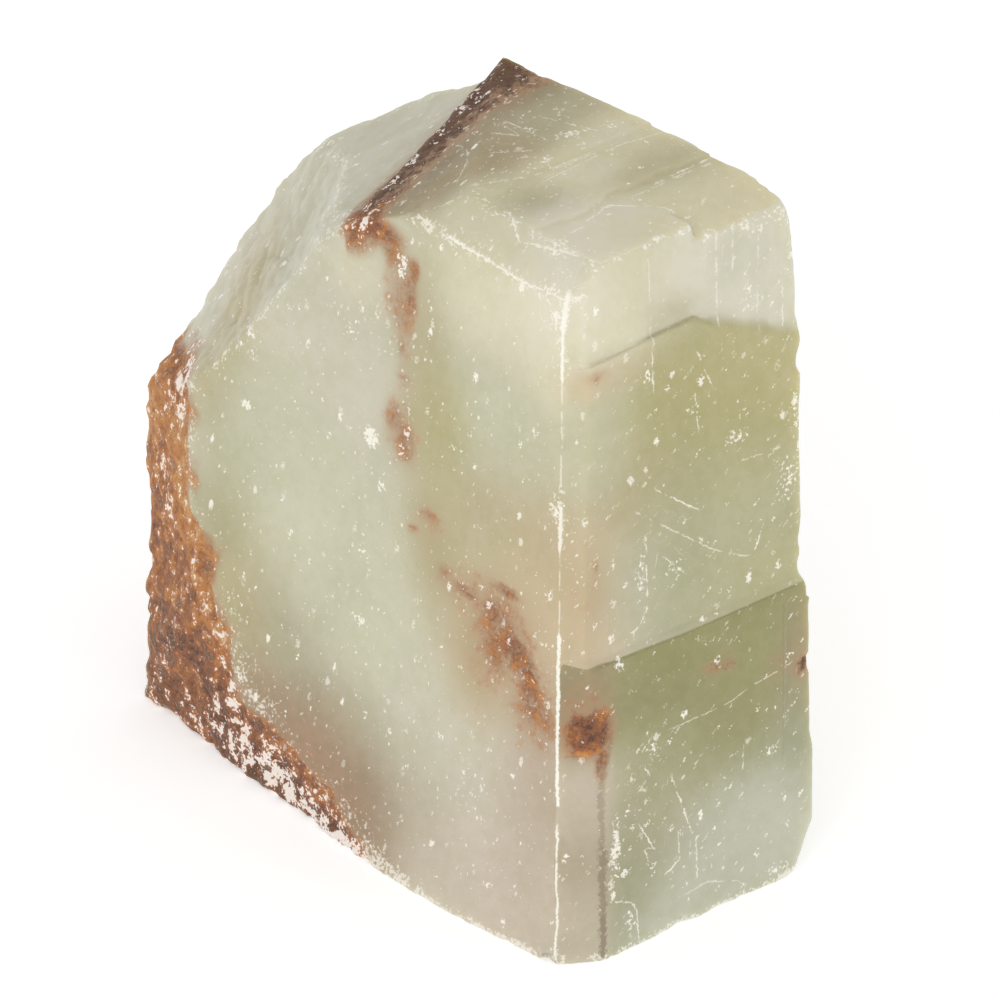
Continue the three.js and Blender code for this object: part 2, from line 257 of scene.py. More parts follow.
# Cleavage patches in the top, paler or deeper than round them: outlines of (right, left, how crisp
# the side that starts there is). They fade out down from the top between the heights of PATCH_UP.
CRISP, SOFT = 1.0, 0.05
PALE_PATCHES = (
    (
        (18.1, 19.1, CRISP), (22.8, 19.4, CRISP), (23.3, 15.8, CRISP), (19.9, 16.1, SOFT),
        (16.7, 16.1, SOFT), (14.7, 16.5, SOFT),
    ),
    (
        (10.6, 15.2, CRISP), (16.2, 15.8, SOFT), (17.3, 14.1, SOFT), (15.1, 12.2, SOFT), (12.0, 12.3, SOFT),
        (11.0, 13.6, SOFT),
    ),
    ((4.9, 10.8, SOFT), (9.7, 12.3, CRISP), (8.7, 10.2, SOFT), (6.0, 9.1, SOFT)),
    (
        (8.3, 7.1, CRISP), (10.1, 8.3, CRISP), (11.6, 8.2, CRISP), (14.9, 4.6, SOFT), (14.9, 3.5, SOFT),
        (12.3, 4.1, SOFT), (9.7, 6.1, SOFT),
    ),
)
DEEP_PATCHES = (
    (
        (3.0, 12.6, SOFT), (6.3, 15.0, SOFT), (8.8, 15.0, CRISP), (10.1, 13.1, CRISP), (7.5, 11.1, SOFT),
        (4.6, 11.2, SOFT),
    ),
    (
        (15.7, 12.0, SOFT), (22.8, 15.3, SOFT), (24.4, 14.4, SOFT), (22.4, 8.6, CRISP), (15.9, 8.8, SOFT),
        (14.5, 10.6, SOFT),
    ),
)
PATCH_UP = (71, 69)

# Iron stain: (right, left, up), spread along each, strength, and how dark it is from 0 to 1.
STAINS = (
    ((0.3, 28.6, 66.6), (2.6, 2.8, 1.6), 1.42, 0.62), ((0, 25.8, 66.4), (1.6, 2.2, 1.4), 1.14, 0.17),
    ((0, 24.6, 64.6), (1.6, 1.6, 1.4), 0.85, 0.22), ((0, 22.0, 64.2), (1.5, 0.9, 1.2), 0.9, 0.47),
    ((0, 22.4, 61.4), (1.5, 1.0, 2.4), 0.84, 0.72), ((0, 23.8, 61.0), (2.0, 2.5, 4.8), 0.6, 0.3),
    ((0, 23.3, 58.6), (1.5, 1.4, 1.6), 0.5, 0.2), ((0, 23.5, 55.8), (1.5, 0.6, 1.2), 0.63, 0.62),
    ((0, 23.2, 52.6), (1.5, 1.3, 0.5), 0.5, 0.4), ((0, 24.4, 48.0), (1.5, 1.2, 1.7), 0.88, 0.22),
    ((0, 22.8, 46.2), (1.5, 1.3, 2.2), 0.8, 0.92), ((0, 19.5, 39.8), (1.5, 1.6, 0.8), 0.63, 0.52),
    ((0, 21.8, 37.6), (1.5, 0.8, 0.6), 0.59, 0.62), ((0, 17.4, 34.8), (1.5, 1.2, 0.9), 0.6, 0.4),
    ((0, 14.6, 33.9), (1.5, 2.2, 0.7), 0.71, 0.82), ((0, 9.2, 36.1), (1.5, 2.2, 0.7), 0.8, 0.82),
    ((0, 10.6, 33.2), (1.6, 2.4, 2.2), 0.67, 0.72), ((0, 8.0, 30.6), (1.8, 2.5, 2.4), 0.84, 0.87),
    ((0, 10.6, 29.4), (1.5, 2.0, 3.0), 0.63, 0.62), ((0, 5.9, 28.4), (1.8, 1.5, 2.2), 0.92, 0.92),
    ((0, 5.4, 25.6), (1.8, 2.2, 2.6), 0.76, 0.47), ((0, 3.4, 24.8), (1.8, 1.5, 1.8), 0.8, -0.2),
    ((0, 4.0, 22.4), (1.5, 1.6, 1.4), 0.45, 0.2), ((1.8, 0, 24.5), (2.3, 1.5, 2.3), 2.2, 0.74),
    ((1.3, 0, 22.4), (2.0, 1.5, 1.0), 1.0, -0.4), ((3.5, 0, 21.4), (0.6, 1.5, 2.6), 0.9, 0.9),
    ((16.9, 0, 26.2), (1.4, 1.5, 0.8), 0.7, 1.3), ((19.0, 0, 25.7), (1.2, 1.5, 0.6), 0.6, 1.3),
    ((28.9, 0, 22.0), (1.2, 2.5, 1.0), 1.4, 1.3), ((2.5, 0, 41.5), (0.4, 1.5, 1.0), 0.55, 0.9),
    ((24.5, 35.4, 73), (4.0, 2.0, 3.5), 0.9, 1.5), ((20.0, 32.0, 73), (7.0, 3.0, 3.5), 0.4, 1.4),
    ((0, 9.6, 31.6), (2.5, 4.8, 5.6), 0.6, 0.4), ((0, 5.5, 26.0), (2.5, 3.8, 5.2), 0.6, 0.4),
    ((0, 12.0, 27.5), (2.5, 4.0, 4.5), 0.38, 0.4), ((0, 23.0, 54.0), (2.5, 1.4, 6.0), 0.3, 0.1),
    ((0, 23.4, 47.0), (2.5, 2.8, 4.0), 0.5, 0.2), ((0, 19.6, 38.6), (2.5, 3.4, 3.0), 0.3, 0.3),
    ((0, 13.4, 34.2), (2.5, 5.5, 3.2), 0.42, 0.5), ((2.0, 0.5, 39.5), (2.4, 3.0, 6.0), 0.27, 0.1),
    ((1.8, 0, 28.0), (2.4, 3.0, 3.0), 0.42, 0.9), ((17.8, 0, 26.0), (2.6, 3.0, 1.3), 0.3, 1.3),
    ((25.5, 0, 23.6), (3.0, 3.0, 2.0), 0.3, 1.3), ((2.0, 0, 61.2), (1.6, 1.5, 0.9), 0.45, 0.6),
    ((0, 36.0, 8.5), (4.0, 7.0, 4.5), 0.28, 0.5), ((0, 30.5, 5.0), (4.0, 4.0, 3.0), 0.25, 0.5),
)
# Pale grains in the iron crust, partly pale crust and partly painted glints: where they lie, how far they
# spread and how dense they are.
CRUST_GRAIN_AND_GLINT_PATCHES = (
    ((1, 56, 41), (3, 3, 4), 0.45), ((1, 52, 46), (4, 4, 2.5), 0.3), ((0, 47.0, 10), (3, 2.2, 3.5), 0.45),
    ((2, 59, 28), (3, 2, 9), 0.25), ((3, 60, 3), (5, 5, 3), 0.25), ((0.5, 27.6, 66.6), (2, 2.5, 1.8), 0.42),
    ((0, 23.9, 63.6), (2, 1.1, 2.0), 0.95), ((0, 22.8, 46.5), (2, 1.1, 2.2), 0.62),
    ((0.5, 30, 1.0), (4, 7, 2.6), 0.42), ((1.0, 42, 3.0), (4, 6, 3.2), 0.43),
    ((1.5, 50, 3.5), (4, 4, 3.0), 0.4), ((1, 56, 38), (4, 4, 4), 0.22),
)
# Pale grains of the ridge and the rind, partly painted glints.
RIDGE_GRAINS_AND_GLINTS, RIDGE_GRAIN_GLINT_SPREAD = 0.48, 0.6
RIND_GRAINS_AND_GLINTS = (0.3, 0.18, (UP, 5.5, 1.5), (LEFT, 50, 44))
RIND_GRAIN_GLINT_STEP = (-0.5, 1.5)

# The rust rind: its inner border as the distance to the left by height, how far two noises move
# it, and its top, which falls towards the right.
RIND_EDGE = (
    (-6, 0, 1.1, 3.4, 5.5, 7.0, 8.5, 9.5, 12.3, 15.6, 19, 22.8, 28, 38.6, 42, 46),
    (24, 25.5, 26.5, 30.4, 32.5, 36, 40.5, 45.5, 46.8, 47.4, 48.4, 49.6, 52.4, 52.8, 54.3, 57),
)
RIND_WANDER, RIND_RAGGED, RIND_STEP = 2.4, 1.8, (-2.6, 2.2)
RIND_TOP, RIND_TOP_FALL, RIND_TOP_REACH, RIND_TOP_RAGGED, RIND_TOP_STEP = 43.0, 0.6, 12, 2, (3, -2)
# Cover of the rind, how much it varies, and how much of it is lost in patches towards the right.
RIND_COVER, RIND_VARIES, RIND_LOST = 1.4, 0.3, 0.9
RIND_BACK, RIND_PATCHES = (RIGHT, 6, 20), (-0.3, 0.3)
# Darkness of the rind: at its border, added outwards, added by a noise, and added by height.
RIND_DARK, RIND_DARK_OUT, RIND_DARK_STEP, RIND_DARK_VARIES = -0.1, 0.3, (2, 8), 0.4
RIND_DARK_UP = ((0.25, (UP, 30, 18)), (0.25, (UP, 17, 9)), (0.4, (UP, 36, 41)))
# The ridge's stain: its spread in front at the low end, growth along it and spread behind; how
# strong it is and how much stronger at the top; how dark and how much darker along it.
RIDGE_SPREAD = (4.6, 3.2, 2.2)
RIDGE_REACH, RIDGE_UP = 1.05, (UP, 60, 64)
RIDGE_STRENGTH = (1.45, 0.45, (UP, 67, 71))
RIDGE_DARK = (0.4, 1.1, (RIGHT, 0.5, 4))
# The stained fracture: distance to the left by height, its lean, strength, half width and fades.
VEIN_TRACE = (
    (-5, 21.8, 24.4, 27.4, 34.9, 39.4, 45.3, 55.6, 65, 65.8),
    (-6, -5, 0.3, 5.7, 12.6, 19.4, 22.9, 23.1, 22.6, 30.7),
)
VEIN_LEAN, VEIN_STRENGTH, VEIN_WIDTH, VEIN_DARK = 0.23, 0.9, 1.2, 0.4
VEIN_FADES, VEIN_STEP = ((RIGHT, 6, 14), (LEFT, 3, 8)), (-0.2, 0.5)
STAIN_OVERLAP, LEAST_WEIGHT = 0.25, 1e-6

# Crowded flecks, partly painted sparkle: (right, left, up), spread along each, and strength.
SUGAR = (
    ((0, 49, 47), (4, 6, 4), 1.2), ((0, 46, 20), (3, 3, 7), 0.9), ((0, 30, 25.5), (3, 4, 3), 1.2),
    ((0, 37, 12), (3, 6, 4), 0.6), ((0, 19, 17), (3, 6, 2), 0.8), ((0, 14, 13), (3, 4, 5), 0.8),
    ((0, 26.5, 58), (3, 3, 5), 1.2), ((0, 22, 50), (3, 3, 12), 0.8), ((0, 12, 34), (3, 6, 5), 0.8),
    ((0, 5, 26), (3, 4, 6), 0.8), ((8, 0, 16), (3, 3, 6), 1.5), ((16, 0, 9), (4, 3, 5), 0.9),
    ((20, 0, 32), (5, 3, 5), 0.8), ((8, 0, 37), (2.5, 3, 6), 1.0), ((27, 0, 46), (3, 3, 8), 1.5),
    ((1, 1, 45), (2.5, 3, 6), 0.9), ((7, 0, 49), (5, 3, 4), 0.7), ((12, 0, 56), (5, 3, 4), 0.6),
    ((24, 0, 18), (5, 3, 5), 0.7), ((15, 21, 73), (6, 4, 4), 0.9), ((10, 17, 73), (6, 3, 4), 0.7),
    ((14, 26, 73), (9, 5, 4), 0.9), ((8, 12, 73), (8, 5, 4), 0.5), ((4, 23, 72), (4, 4, 4), 1.2),
    ((12, 30, 72), (8, 3, 4), 1.0), ((24, 0, 62), (5, 3, 8), 0.8),
)
SUGAR_BASE = 0.5

# White bruises on each seen face: place on it, half sizes and strength. They reach BRUISE_DEPTH in.
WIDE, NARROW, LID = 0, 1, 2
# Height of the marks on the top.
LID_UP = 72.6
BRUISE_DEPTH = 1.5
BRUISES = {
    WIDE: (
        (44.4, 41.4, 0.84, 0.48, 1.2), (37.6, 44.1, 0.44, 0.4, 1.0), (27.5, 44.8, 0.84, 1.19, 1.3),
        (30.5, 44.5, 0.44, 0.31, 1.0), (38.3, 30.2, 0.35, 0.62, 0.9), (28.4, 34.2, 0.35, 0.44, 1.0),
        (28.4, 32.6, 0.44, 0.4, 1.0), (47.5, 33.3, 0.44, 0.35, 0.9), (25.9, 36.5, 0.44, 0.44, 0.9),
        (44.5, 49.3, 1.06, 0.79, 0.8), (46.6, 48.6, 0.88, 0.62, 0.8), (43.6, 46.9, 0.53, 0.79, 0.7),
        (30.5, 54.9, 0.7, 0.62, 0.9), (38.6, 53.9, 0.44, 0.31, 0.9), (29.0, 57.6, 0.35, 0.35, 0.9),
        (28.7, 25.1, 1.06, 0.7, 0.8), (32.0, 18.8, 0.53, 0.7, 0.9), (28.9, 17.1, 0.35, 0.35, 0.9),
        (27.8, 15.4, 0.35, 0.44, 0.9), (46.5, 19.4, 0.97, 1.41, 0.55), (23.4, 64.4, 0.44, 0.88, 1.2),
        (22.7, 46.9, 0.44, 0.53, 1.1), (26.0, 40.3, 0.44, 0.7, 0.9), (27.3, 41.2, 0.44, 0.62, 0.8),
        (14.8, 25.7, 0.35, 0.35, 0.9), (4.4, 32.7, 0.35, 0.31, 1.0), (14.7, 34.7, 0.35, 0.31, 1.0),
        (14.2, 50.6, 0.35, 0.44, 0.8), (16.5, 48.2, 0.62, 0.35, 0.8), (7.7, 53.6, 0.35, 0.35, 0.8),
        (5.6, 54.0, 0.53, 0.35, 0.8), (2.6, 47.0, 1.06, 1.58, 0.8), (10.6, 4.8, 0.79, 0.44, 0.9),
        (13.2, 19.5, 0.44, 0.35, 0.9), (17.6, 17.6, 0.53, 0.44, 0.9), (7.9, 17.4, 0.44, 0.35, 1.0),
        (3.6, 71.2, 1.14, 0.97, 0.8), (4.2, 69.0, 1.2, 0.8, 0.75), (3.2, 66.8, 0.8, 1.3, 0.75),
        (34.0, 46.0, 0.26, 0.26, 0.8), (22.0, 12.5, 0.44, 0.35, 0.8),
    ),
    NARROW: (
        (4.6, 40.9, 0.31, 0.88, 0.8), (8.1, 38.4, 0.7, 2.82, 0.62), (12.5, 37.8, 1.14, 1.06, 0.6),
        (10.6, 47.1, 0.35, 0.35, 1.0), (19.6, 48.9, 1.41, 0.88, 0.65), (8.3, 59.0, 0.79, 0.7, 0.7),
        (10.9, 56.8, 0.35, 0.35, 0.9), (14.5, 53.5, 0.53, 0.7, 0.7), (5.4, 11.2, 0.66, 2.99, 0.95),
        (6.8, 14.8, 0.35, 0.62, 0.8), (9.6, 20.4, 0.97, 1.94, 0.7), (7.2, 18.0, 0.53, 0.97, 0.7),
        (7.4, 2.6, 0.7, 1.58, 0.65), (24.6, 14.3, 1.41, 0.53, 0.7), (26.9, 16.9, 0.26, 0.35, 1.0),
        (26.4, 42.5, 1.41, 2.29, 0.6), (27.2, 49.0, 0.7, 2.64, 0.5), (25.5, 1.5, 0.88, 0.7, 0.8),
        (5.4, 30.6, 0.79, 0.79, 0.85), (22.0, 62.0, 1.76, 0.88, 0.5), (26.9, 23.4, 0.7, 0.44, 0.8),
    ),
    LID: (
        (12.2, 18.1, 1.06, 0.44, 0.9), (17.5, 20.4, 1.58, 0.79, 0.75), (4.9, 26.1, 0.62, 0.79, 0.9),
        (2.0, 5.2, 1.58, 1.23, 0.7), (21.7, 19.3, 1.06, 0.62, 0.7), (15.3, 23.6, 0.88, 0.44, 0.7),
    ),
}

# Hairline fractures and scratches on each face: half width, strength and path on the face.
FRACTURES = {
    WIDE: (
        (0.17, 0.9, ((16.5, 69.3), (7.1, 68.5))), (0.14, 0.81, ((5.3, 68.7), (3.5, 68.7))),
        (0.12, 0.72, ((21.9, 70.0), (18.7, 69.4))),
    ),
    NARROW: (
        (0.11, 0.72, ((8.6, 41.4), (8.9, 37.8), (9.1, 35.0), (8.3, 33.6), (7.3, 33.1), (7.7, 31.4))),
        (0.11, 0.72, ((11.2, 39.3), (13.5, 37.0))),
        (0.1, 0.59, ((8.6, 44.5), (15.8, 39.1), (17.2, 38.1), (21.0, 36.1), (22.3, 35.8))),
        (0.11, 0.81, ((22.3, 35.8), (22.9, 37.3))), (0.12, 0.81, ((11.0, 46.0), (13.8, 43.9))),
        (0.11, 0.81, ((20.1, 50.4), (20.2, 48.7))), (0.1, 0.54, ((21.4, 46.1), (25.9, 45.8), (27.6, 45.9))),
        (0.11, 0.72, ((9.0, 59.9), (9.1, 58.6))), (0.11, 0.72, ((15.1, 58.2), (15.8, 56.7))),
        (0.1, 0.63, ((14.5, 54.1), (14.7, 52.7))), (0.15, 0.81, ((12.7, 15.0), (14.7, 10.0))),
        (0.12, 0.81, ((9.2, 17.7), (9.8, 16.4))), (0.11, 0.77, ((13.3, 8.9), (13.5, 7.1), (12.7, 6.7))),
        (0.1, 0.72, ((15.5, 8.0), (15.7, 5.3))), (0.11, 0.81, ((9.1, 11.3), (9.8, 10.1))),
        (0.1, 0.63, ((9.3, 9.1), (9.8, 8.0))),
        (0.08, 0.54, ((10.9, 21.4), (19.4, 21.5), (21.8, 22.2), (27.5, 22.7))),
        (0.1, 0.5, ((15.6, 3.2), (17.1, 3.4), (20.9, 2.0), (21.9, 1.2), (21.9, -0.5))),
        (0.11, 0.72, ((21.2, 14.9), (21.2, 13.4))),
        (0.11, 0.68, ((6.6, 5.2), (7.6, 4.8), (8.2, 3.6), (8.6, -0.2))),
        (0.11, 0.54, ((8.6, 69.8), (8.9, 66.0), (9.0, 63.2))), (0.12, 0.54, ((16.9, 69.7), (17.2, 62.6))),
        (0.11, 0.5, ((19.0, 69.1), (19.1, 66.1))), (0.11, 0.45, ((22.2, 67.6), (22.3, 60.5))),
        (0.12, 0.63, ((25.3, 61.0), (25.5, 57.9))),
    ),
    LID: (
        (0.11, 0.63, ((3.1, 17.3), (2.7, 13.6))), (0.14, 0.81, ((2.7, 12.3), (1.1, 9.4))),
        (0.11, 0.68, ((1.3, 8.8), (2.0, 4.7), (2.4, 1.7))), (0.12, 0.63, ((2.6, 6.5), (5.2, 6.6))),
        (0.11, 0.54, ((4.2, 18.5), (8.6, 16.7), (16.4, 16.7))), (0.15, 0.72, ((17.5, 8.8), (23.1, 9.1))),
        (0.15, 0.72, ((8.8, 7.7), (11.1, 8.3), (14.5, 4.8), (15.7, 1.6))),
        (0.11, 0.63, ((12.2, 25.4), (13.4, 23.8))), (0.11, 0.63, ((15.0, 25.2), (15.1, 21.9))),
        (0.12, 0.72, ((18.4, 23.2), (19.4, 20.4))), (0.11, 0.63, ((10.6, 21.7), (11.9, 20.8))),
        (0.1, 0.54, ((9.9, 27.7), (9.8, 25.9), (7.7, 23.4), (4.2, 21.2))),
        (0.11, 0.63, ((-1.2, 21.0), (1.5, 18.9))), (0.09, 0.54, ((10.7, 15.4), (19.9, 16.1), (23.1, 15.6))),
        (0.09, 0.54, ((14.9, 8.2), (22.7, 8.3))),
    ),
}
FRONT_EDGE = {
    WIDE: (
        (0.4, 1.0, ((2.2, 68.4), (2.35, 65.6))), (0.22, 1.0, ((2.35, 65.6), (2.3, 60.5))),
        (0.12, 0.5, ((2.3, 60.5), (2.2, 50.0))), (0.3, 0.85, ((2.2, 50.0), (2.2, 43.2))),
        (0.12, 0.55, ((2.2, 43.2), (2.1, 34.5))), (0.25, 1.4, ((2.1, 34.5), (2.05, 24.0))),
        (0.2, 1.2, ((2.05, 24.0), (1.95, 18.0))), (0.14, 0.9, ((1.9, 13.4), (1.85, 1.5))),
    ),
}
# Seams: brown lines in cracks and creases, partly stain and partly painted shade.
SEAM_SHADE_AND_STAIN_LINES = {
    NARROW: (
        (0.3, 0.35, ((4.3, 22.0), (3.5, 18.2))), (0.4, 0.45, ((3.5, 18.2), (3.8, 12.0))),
        (0.55, 0.65, ((3.8, 12.0), (4.0, 4.6))), (0.45, 0.8, ((4.0, 4.6), (4.1, 0.3))),
        (0.1, 0.2, ((1.6, 62.4), (4.9, 62.5), (8.8, 62.8), (13.6, 63.0))),
        (0.12, 0.4, ((4.2, 31.0), (14.0, 30.7), (26.0, 30.7))), (0.14, 0.25, ((25.9, 29.0), (26.3, 14.2))),
    ),
}
# A mark fades out between these distances from its path.
MARK_FADE = (1.0, 1.8)
# White of the edges, wear and painted glow of the thin edges: at the foot and at the far edge of the narrow
# face, each with its fades.
FOOT_WEAR_AND_GLOW = (0.5, (UP, 3, 0.5), (LEFT, 42, 34))
SIDE_WEAR_AND_GLOW = (0.4, (RIGHT, 25.5, 27))
# Depths below the wide and narrow planes between which a point starts to count as on them.
ON_FACE = (-2.5, -1.5)
# How far, and where, the borders of the upper sheet's and the top's tones are softened.
SHEET_SOFTENING = (0.88, (RIGHT, 13, 17))
LID_SOFTENING = (0.95, (LEFT, 5, 13), (LEFT, 30, 22))
# Distances from a border of tones are told apart up to this many millimetres.
BORDER_REACH = 3

# Soft-light tones of the close drift.
DRIFT_TONES = ((0.43, 0.44, 0.38, 1.0), (0.58, 0.565, 0.58, 1.0))

# Scattered white flecks, crushed specks that are also painted sparkle of small fracture facets: cell, share
# kept, size, stretch and strength.
FLECKS_AND_SPARKLE = (
    (1.5, 0.5, 0.3, (1.0, 1.2, 0.7), 0.95),
    (0.6, 0.38, 0.38, (1.0, 1.0, 1.0), 0.75),
)

# Smooth steps of the finish: none at, all at, and the shares there where they aren't 0 and 1.
STEPS = {
    "sheet": (-0.08, 0.08), "lid": (-0.1, 0.1), "deep": (-0.06, 0.06, 0.0, 0.2),
    "pale": (-0.06, 0.06, 0.0, 0.3), "drift": (0.28, 0.72), "bruise": (0.5, 0.95, 0.0, 0.9),
    "worn": (0.25, -0.35, 0.0, 0.65), "crust": (0.72, 0.88, 0.0, 0.95),
    "iron": (0.4, 1.25, 0.0, 0.97), "haze": (0.04, 0.7, 0.0, 0.75), "line": (1.1, 0.3),
    "rust_orange": (-0.5, 0.1), "rust_brown": (0.1, 0.65), "rust_dark": (0.65, 1.15),
    "ridge_brown": (1.2, 1.6), "relief": (0.3, 0.9, 0.12, 1.0),
}
# Noises of the finish: cells in a millimetre, detail and roughness.
MOTTLE_NOISE, GRAIN_NOISE = (0.75, 3.0, 0.6), (2.6, 1.0, 0.65)
# Crack lines by attribute: how far they sway and how much of them is missing.
LINES = (("fractures", 4.5, 0.42), ("front_edge", 1.6, 0.4), ("seams", 2.5, 0.3))
# How soft a gap's ends are, the strength past which gaps close, and the brown of the seams, partly stain and
# partly painted shade.
GAP_STEP, BOLD_MARK, SEAM_SHADE_SHARE = 0.12, 0.8, 0.75
# Least share of a fleck's size and clearness, its full core, and how far noise bends it.
FLECK_LEAST, FLECK_CORE, FLECK_WARP = 0.35, 0.55, 1.1
# How far the coarse and the fine noise move the stain's cover, haze and shade.
COVER_MOTTLE, HAZE_MOTTLE, SHADE_MOTTLE, THIN_STAIN = (2.2, 0.6), 0.6, (-3.2, 0.8), -0.15
# How far the fine noise moves the borders of white marks, and how the coarse one breaks them up.
BRUISE_RAGGED, EDGE_RAGGED, CRUST_RAGGED = 2.4, 3.0, 1.4
EDGE_MIDDLE, EDGE_BROKEN, CRUST_LUMPY = 0.56, 2.0, 2.8
# Bump strength and height in millimetres, and the roughness that marks and iron add.
BUMP, ADDED_ROUGHNESS = (0.6, 0.4), 0.3
STONE_IOR, GLOW_TINT = 1.5, (1.0, 0.95, 0.7)

CAMERA_PLACE = (2.72 * MM, -738.29 * MM, 560.65 * MM)
SENSOR_WIDTH = 36
FLOOR_ROUGHNESS = 0.9
WHITE = (1, 1, 1, 1)
# Soft lights: name, the setting that holds its power, place and size.
LIGHTS = (
    ("key_light", "key", (-0.45, -0.95, 0.55), 0.9),
    ("fill_light", "fill", (0.9, -0.6, 0.6), 0.8),
)


def tint(red, green, blue):
    """Linear colour of display values from 0 to 255: ((v + 0.055) / 1.055)^2.4 above the toe."""
    values = (value / 255 for value in (red, green, blue))
    return tuple(v / 12.92 if v <= 0.04045 else ((v + 0.055) / 1.055) ** 2.4 for v in values)


# ---------------------------------------------------------------------------------------------
# Cleavage directions


def edge_matrix():
    """Rows are unit vectors along the right, left and front edges, as three equal angles meet."""
    cosine = math.cos(CLEAVAGE_ANGLE)
    turn = CLEAVAGE_ANGLE - BLOCK_TURN
    left = np.array([-math.cos(BLOCK_TURN), math.sin(BLOCK_TURN), 0.0])
    right = np.array([math.cos(turn), math.sin(turn), 0.0])
    lean = (left + right) * cosine / (1 - cosine)
    front = lean + np.array([0, 0, math.sqrt(1 - lean @ lean)])
    return np.array([right, left, front])


EDGES = edge_matrix()
UNEDGES = np.linalg.inv(EDGES)


def place(points):
    """Millimetres in the shared frame of points given as [right, left, up]."""
    return np.asarray(points, float) @ EDGES + FRONT_CORNER


def unplace(points):
    """[right, left, up] of points given in millimetres in the shared frame."""
    return (points - FRONT_CORNER) @ UNEDGES


def plane(through):
    """Outward unit normal n and offset d of the plane through three points: n . p - d > 0 outside."""
    first, second, third = place(through)
    normal = np.cross(second - first, third - first)
    normal /= np.linalg.norm(normal)
    if normal @ (place(CORE) - first) > 0:
        normal = -normal
    return normal, normal @ first


WIDE_PLANE = plane(((0, 0, 0), (0, 10, 0), (0, 0, 10)))
NARROW_PLANE = plane(((0, 0, 0), (10, 0, 0), (0, 0, 10)))
LID_PLANE = plane(((0, 0, TOP), (10, 0, TOP), (0, 10, TOP)))
SEEN_PLANES = (WIDE_PLANE, NARROW_PLANE, LID_PLANE)


def above(points, flat):
    """Height of points above a plane: n . p - d."""
    normal, offset = flat
    return points @ normal - offset


def on_face(face, first, second):
    """Point in the shared frame on one of the three seen faces, from its two in-face distances."""
    crystal = ((0, first, second), (first, 0, second), (first, second, LID_UP))[face]
    return place(crystal)


# ---------------------------------------------------------------------------------------------
# Repeatable noise


def lattice_value(cells, seed):
    """Repeatable value from 0 to 1 at whole-number lattice points, by integer hashing."""
    mixed = sum(cells[:, axis].astype(np.uint32) * np.uint32(step) for axis, step in enumerate(HASH_STEPS))
    mixed = mixed + np.uint32((seed * HASH_SEED) % 2**32)
    mixed = (mixed ^ (mixed >> np.uint32(13))) * np.uint32(HASH_MIX)
    return (mixed ^ (mixed >> np.uint32(16))) / 2.0**32


def swell(points, length, seed):
    """Value noise from -1 to 1: lattice values blended by 3t^2 - 2t^3 along each axis."""
    scaled = points / length
    cells = np.floor(scaled).astype(np.int64)
    t = scaled - cells
    t = t * t * (3 - 2 * t)
    total = np.zeros(len(points))
    for corner in itertools.product((0, 1), repeat=3):
        share = np.prod(np.where(corner, t, 1 - t), axis=1)
        total += share * lattice_value(cells + corner, seed)
    return 2 * total - 1


def noise(points, name):
    """Height * the mean of layers of value noise, each half as high and half as long as the last,
    weighted by how high they are."""
    height, length, seed, layers = NOISES[name]
    total = np.zeros(len(points))
    for layer in range(layers):
        total += 0.5**layer * swell(points, length * 0.5**layer, seed + layer)
        points = points @ LAYER_TURN
    return height * (total / (2 - 0.5 ** (layers - 1)))


def knobs(points, length, seed):
    """Rounded lumps: one minus the squared distance to the nearest scattered point, in cells."""
    scaled = points / length
    cells = np.floor(scaled).astype(np.int64)
    nearest = np.full(len(points), np.inf)
    for step in itertools.product((-1, 0, 1), repeat=3):
        cell = cells + step
        spot = cell + np.stack([lattice_value(cell, seed + k) for k in range(3)], axis=1)
        nearest = np.minimum(nearest, ((scaled - spot) ** 2).sum(axis=1))
    return np.clip(1 - nearest, 0, 1)


def ramp(value, low, high):
    """Smooth step: 0 below low, 1 above high and 3t^2 - 2t^3 between."""
    t = np.clip((value - low) / (high - low), 0, 1)
    return t * t * (3 - 2 * t)


def fade(crystal, *limits):
    """Product of ramps, one for each limit: (direction, 0 at, 1 at)."""
    return np.prod([ramp(crystal[:, axis], low, high) for axis, low, high in limits], axis=0)


def faded(crystal, height, *limits):
    """height * fade."""
    return height * fade(crystal, *limits)


def rising(crystal, start, growth, *limits):
    """start + growth * fade."""
    return start + growth * fade(crystal, *limits)


# ---------------------------------------------------------------------------------------------
# The block's surface


def crack_heights(right):
    """Heights of the two open cracks in the narrow face at a distance along it."""
    return np.interp(right, *UPPER_CRACK), np.interp(right, *LOWER_CRACK)


def vein_distance(crystal):
    """How far to the left of the stained fracture a point lies: left - trace(up) - lean * right."""
    trace = np.interp(crystal[:, UP], *VEIN_TRACE)
    return crystal[:, LEFT] - trace - VEIN_LEAN * crystal[:, RIGHT]


def ridge_distance(crystal):
    """Distance from the ridge over its spread: front + growth * share along it, or back."""
    start, end = place(RIDGE_LOW), place(RIDGE_HIGH)
    offset = place(crystal) - start
    span = end - start
    share = np.clip(offset @ span / (span @ span), 0, 1)
    front = offset @ np.cross(span, LID_PLANE[0]) > 0
    spread = np.where(front, RIDGE_SPREAD[0] + RIDGE_SPREAD[1] * share, RIDGE_SPREAD[2])
    return np.linalg.norm(offset - share[:, None] * span, axis=1) / spread


def rind_depth(crystal):
    """How far past the inner border of the rust rind a point lies, in millimetres."""
    return crystal[:, LEFT] - np.interp(crystal[:, UP], *RIND_EDGE)


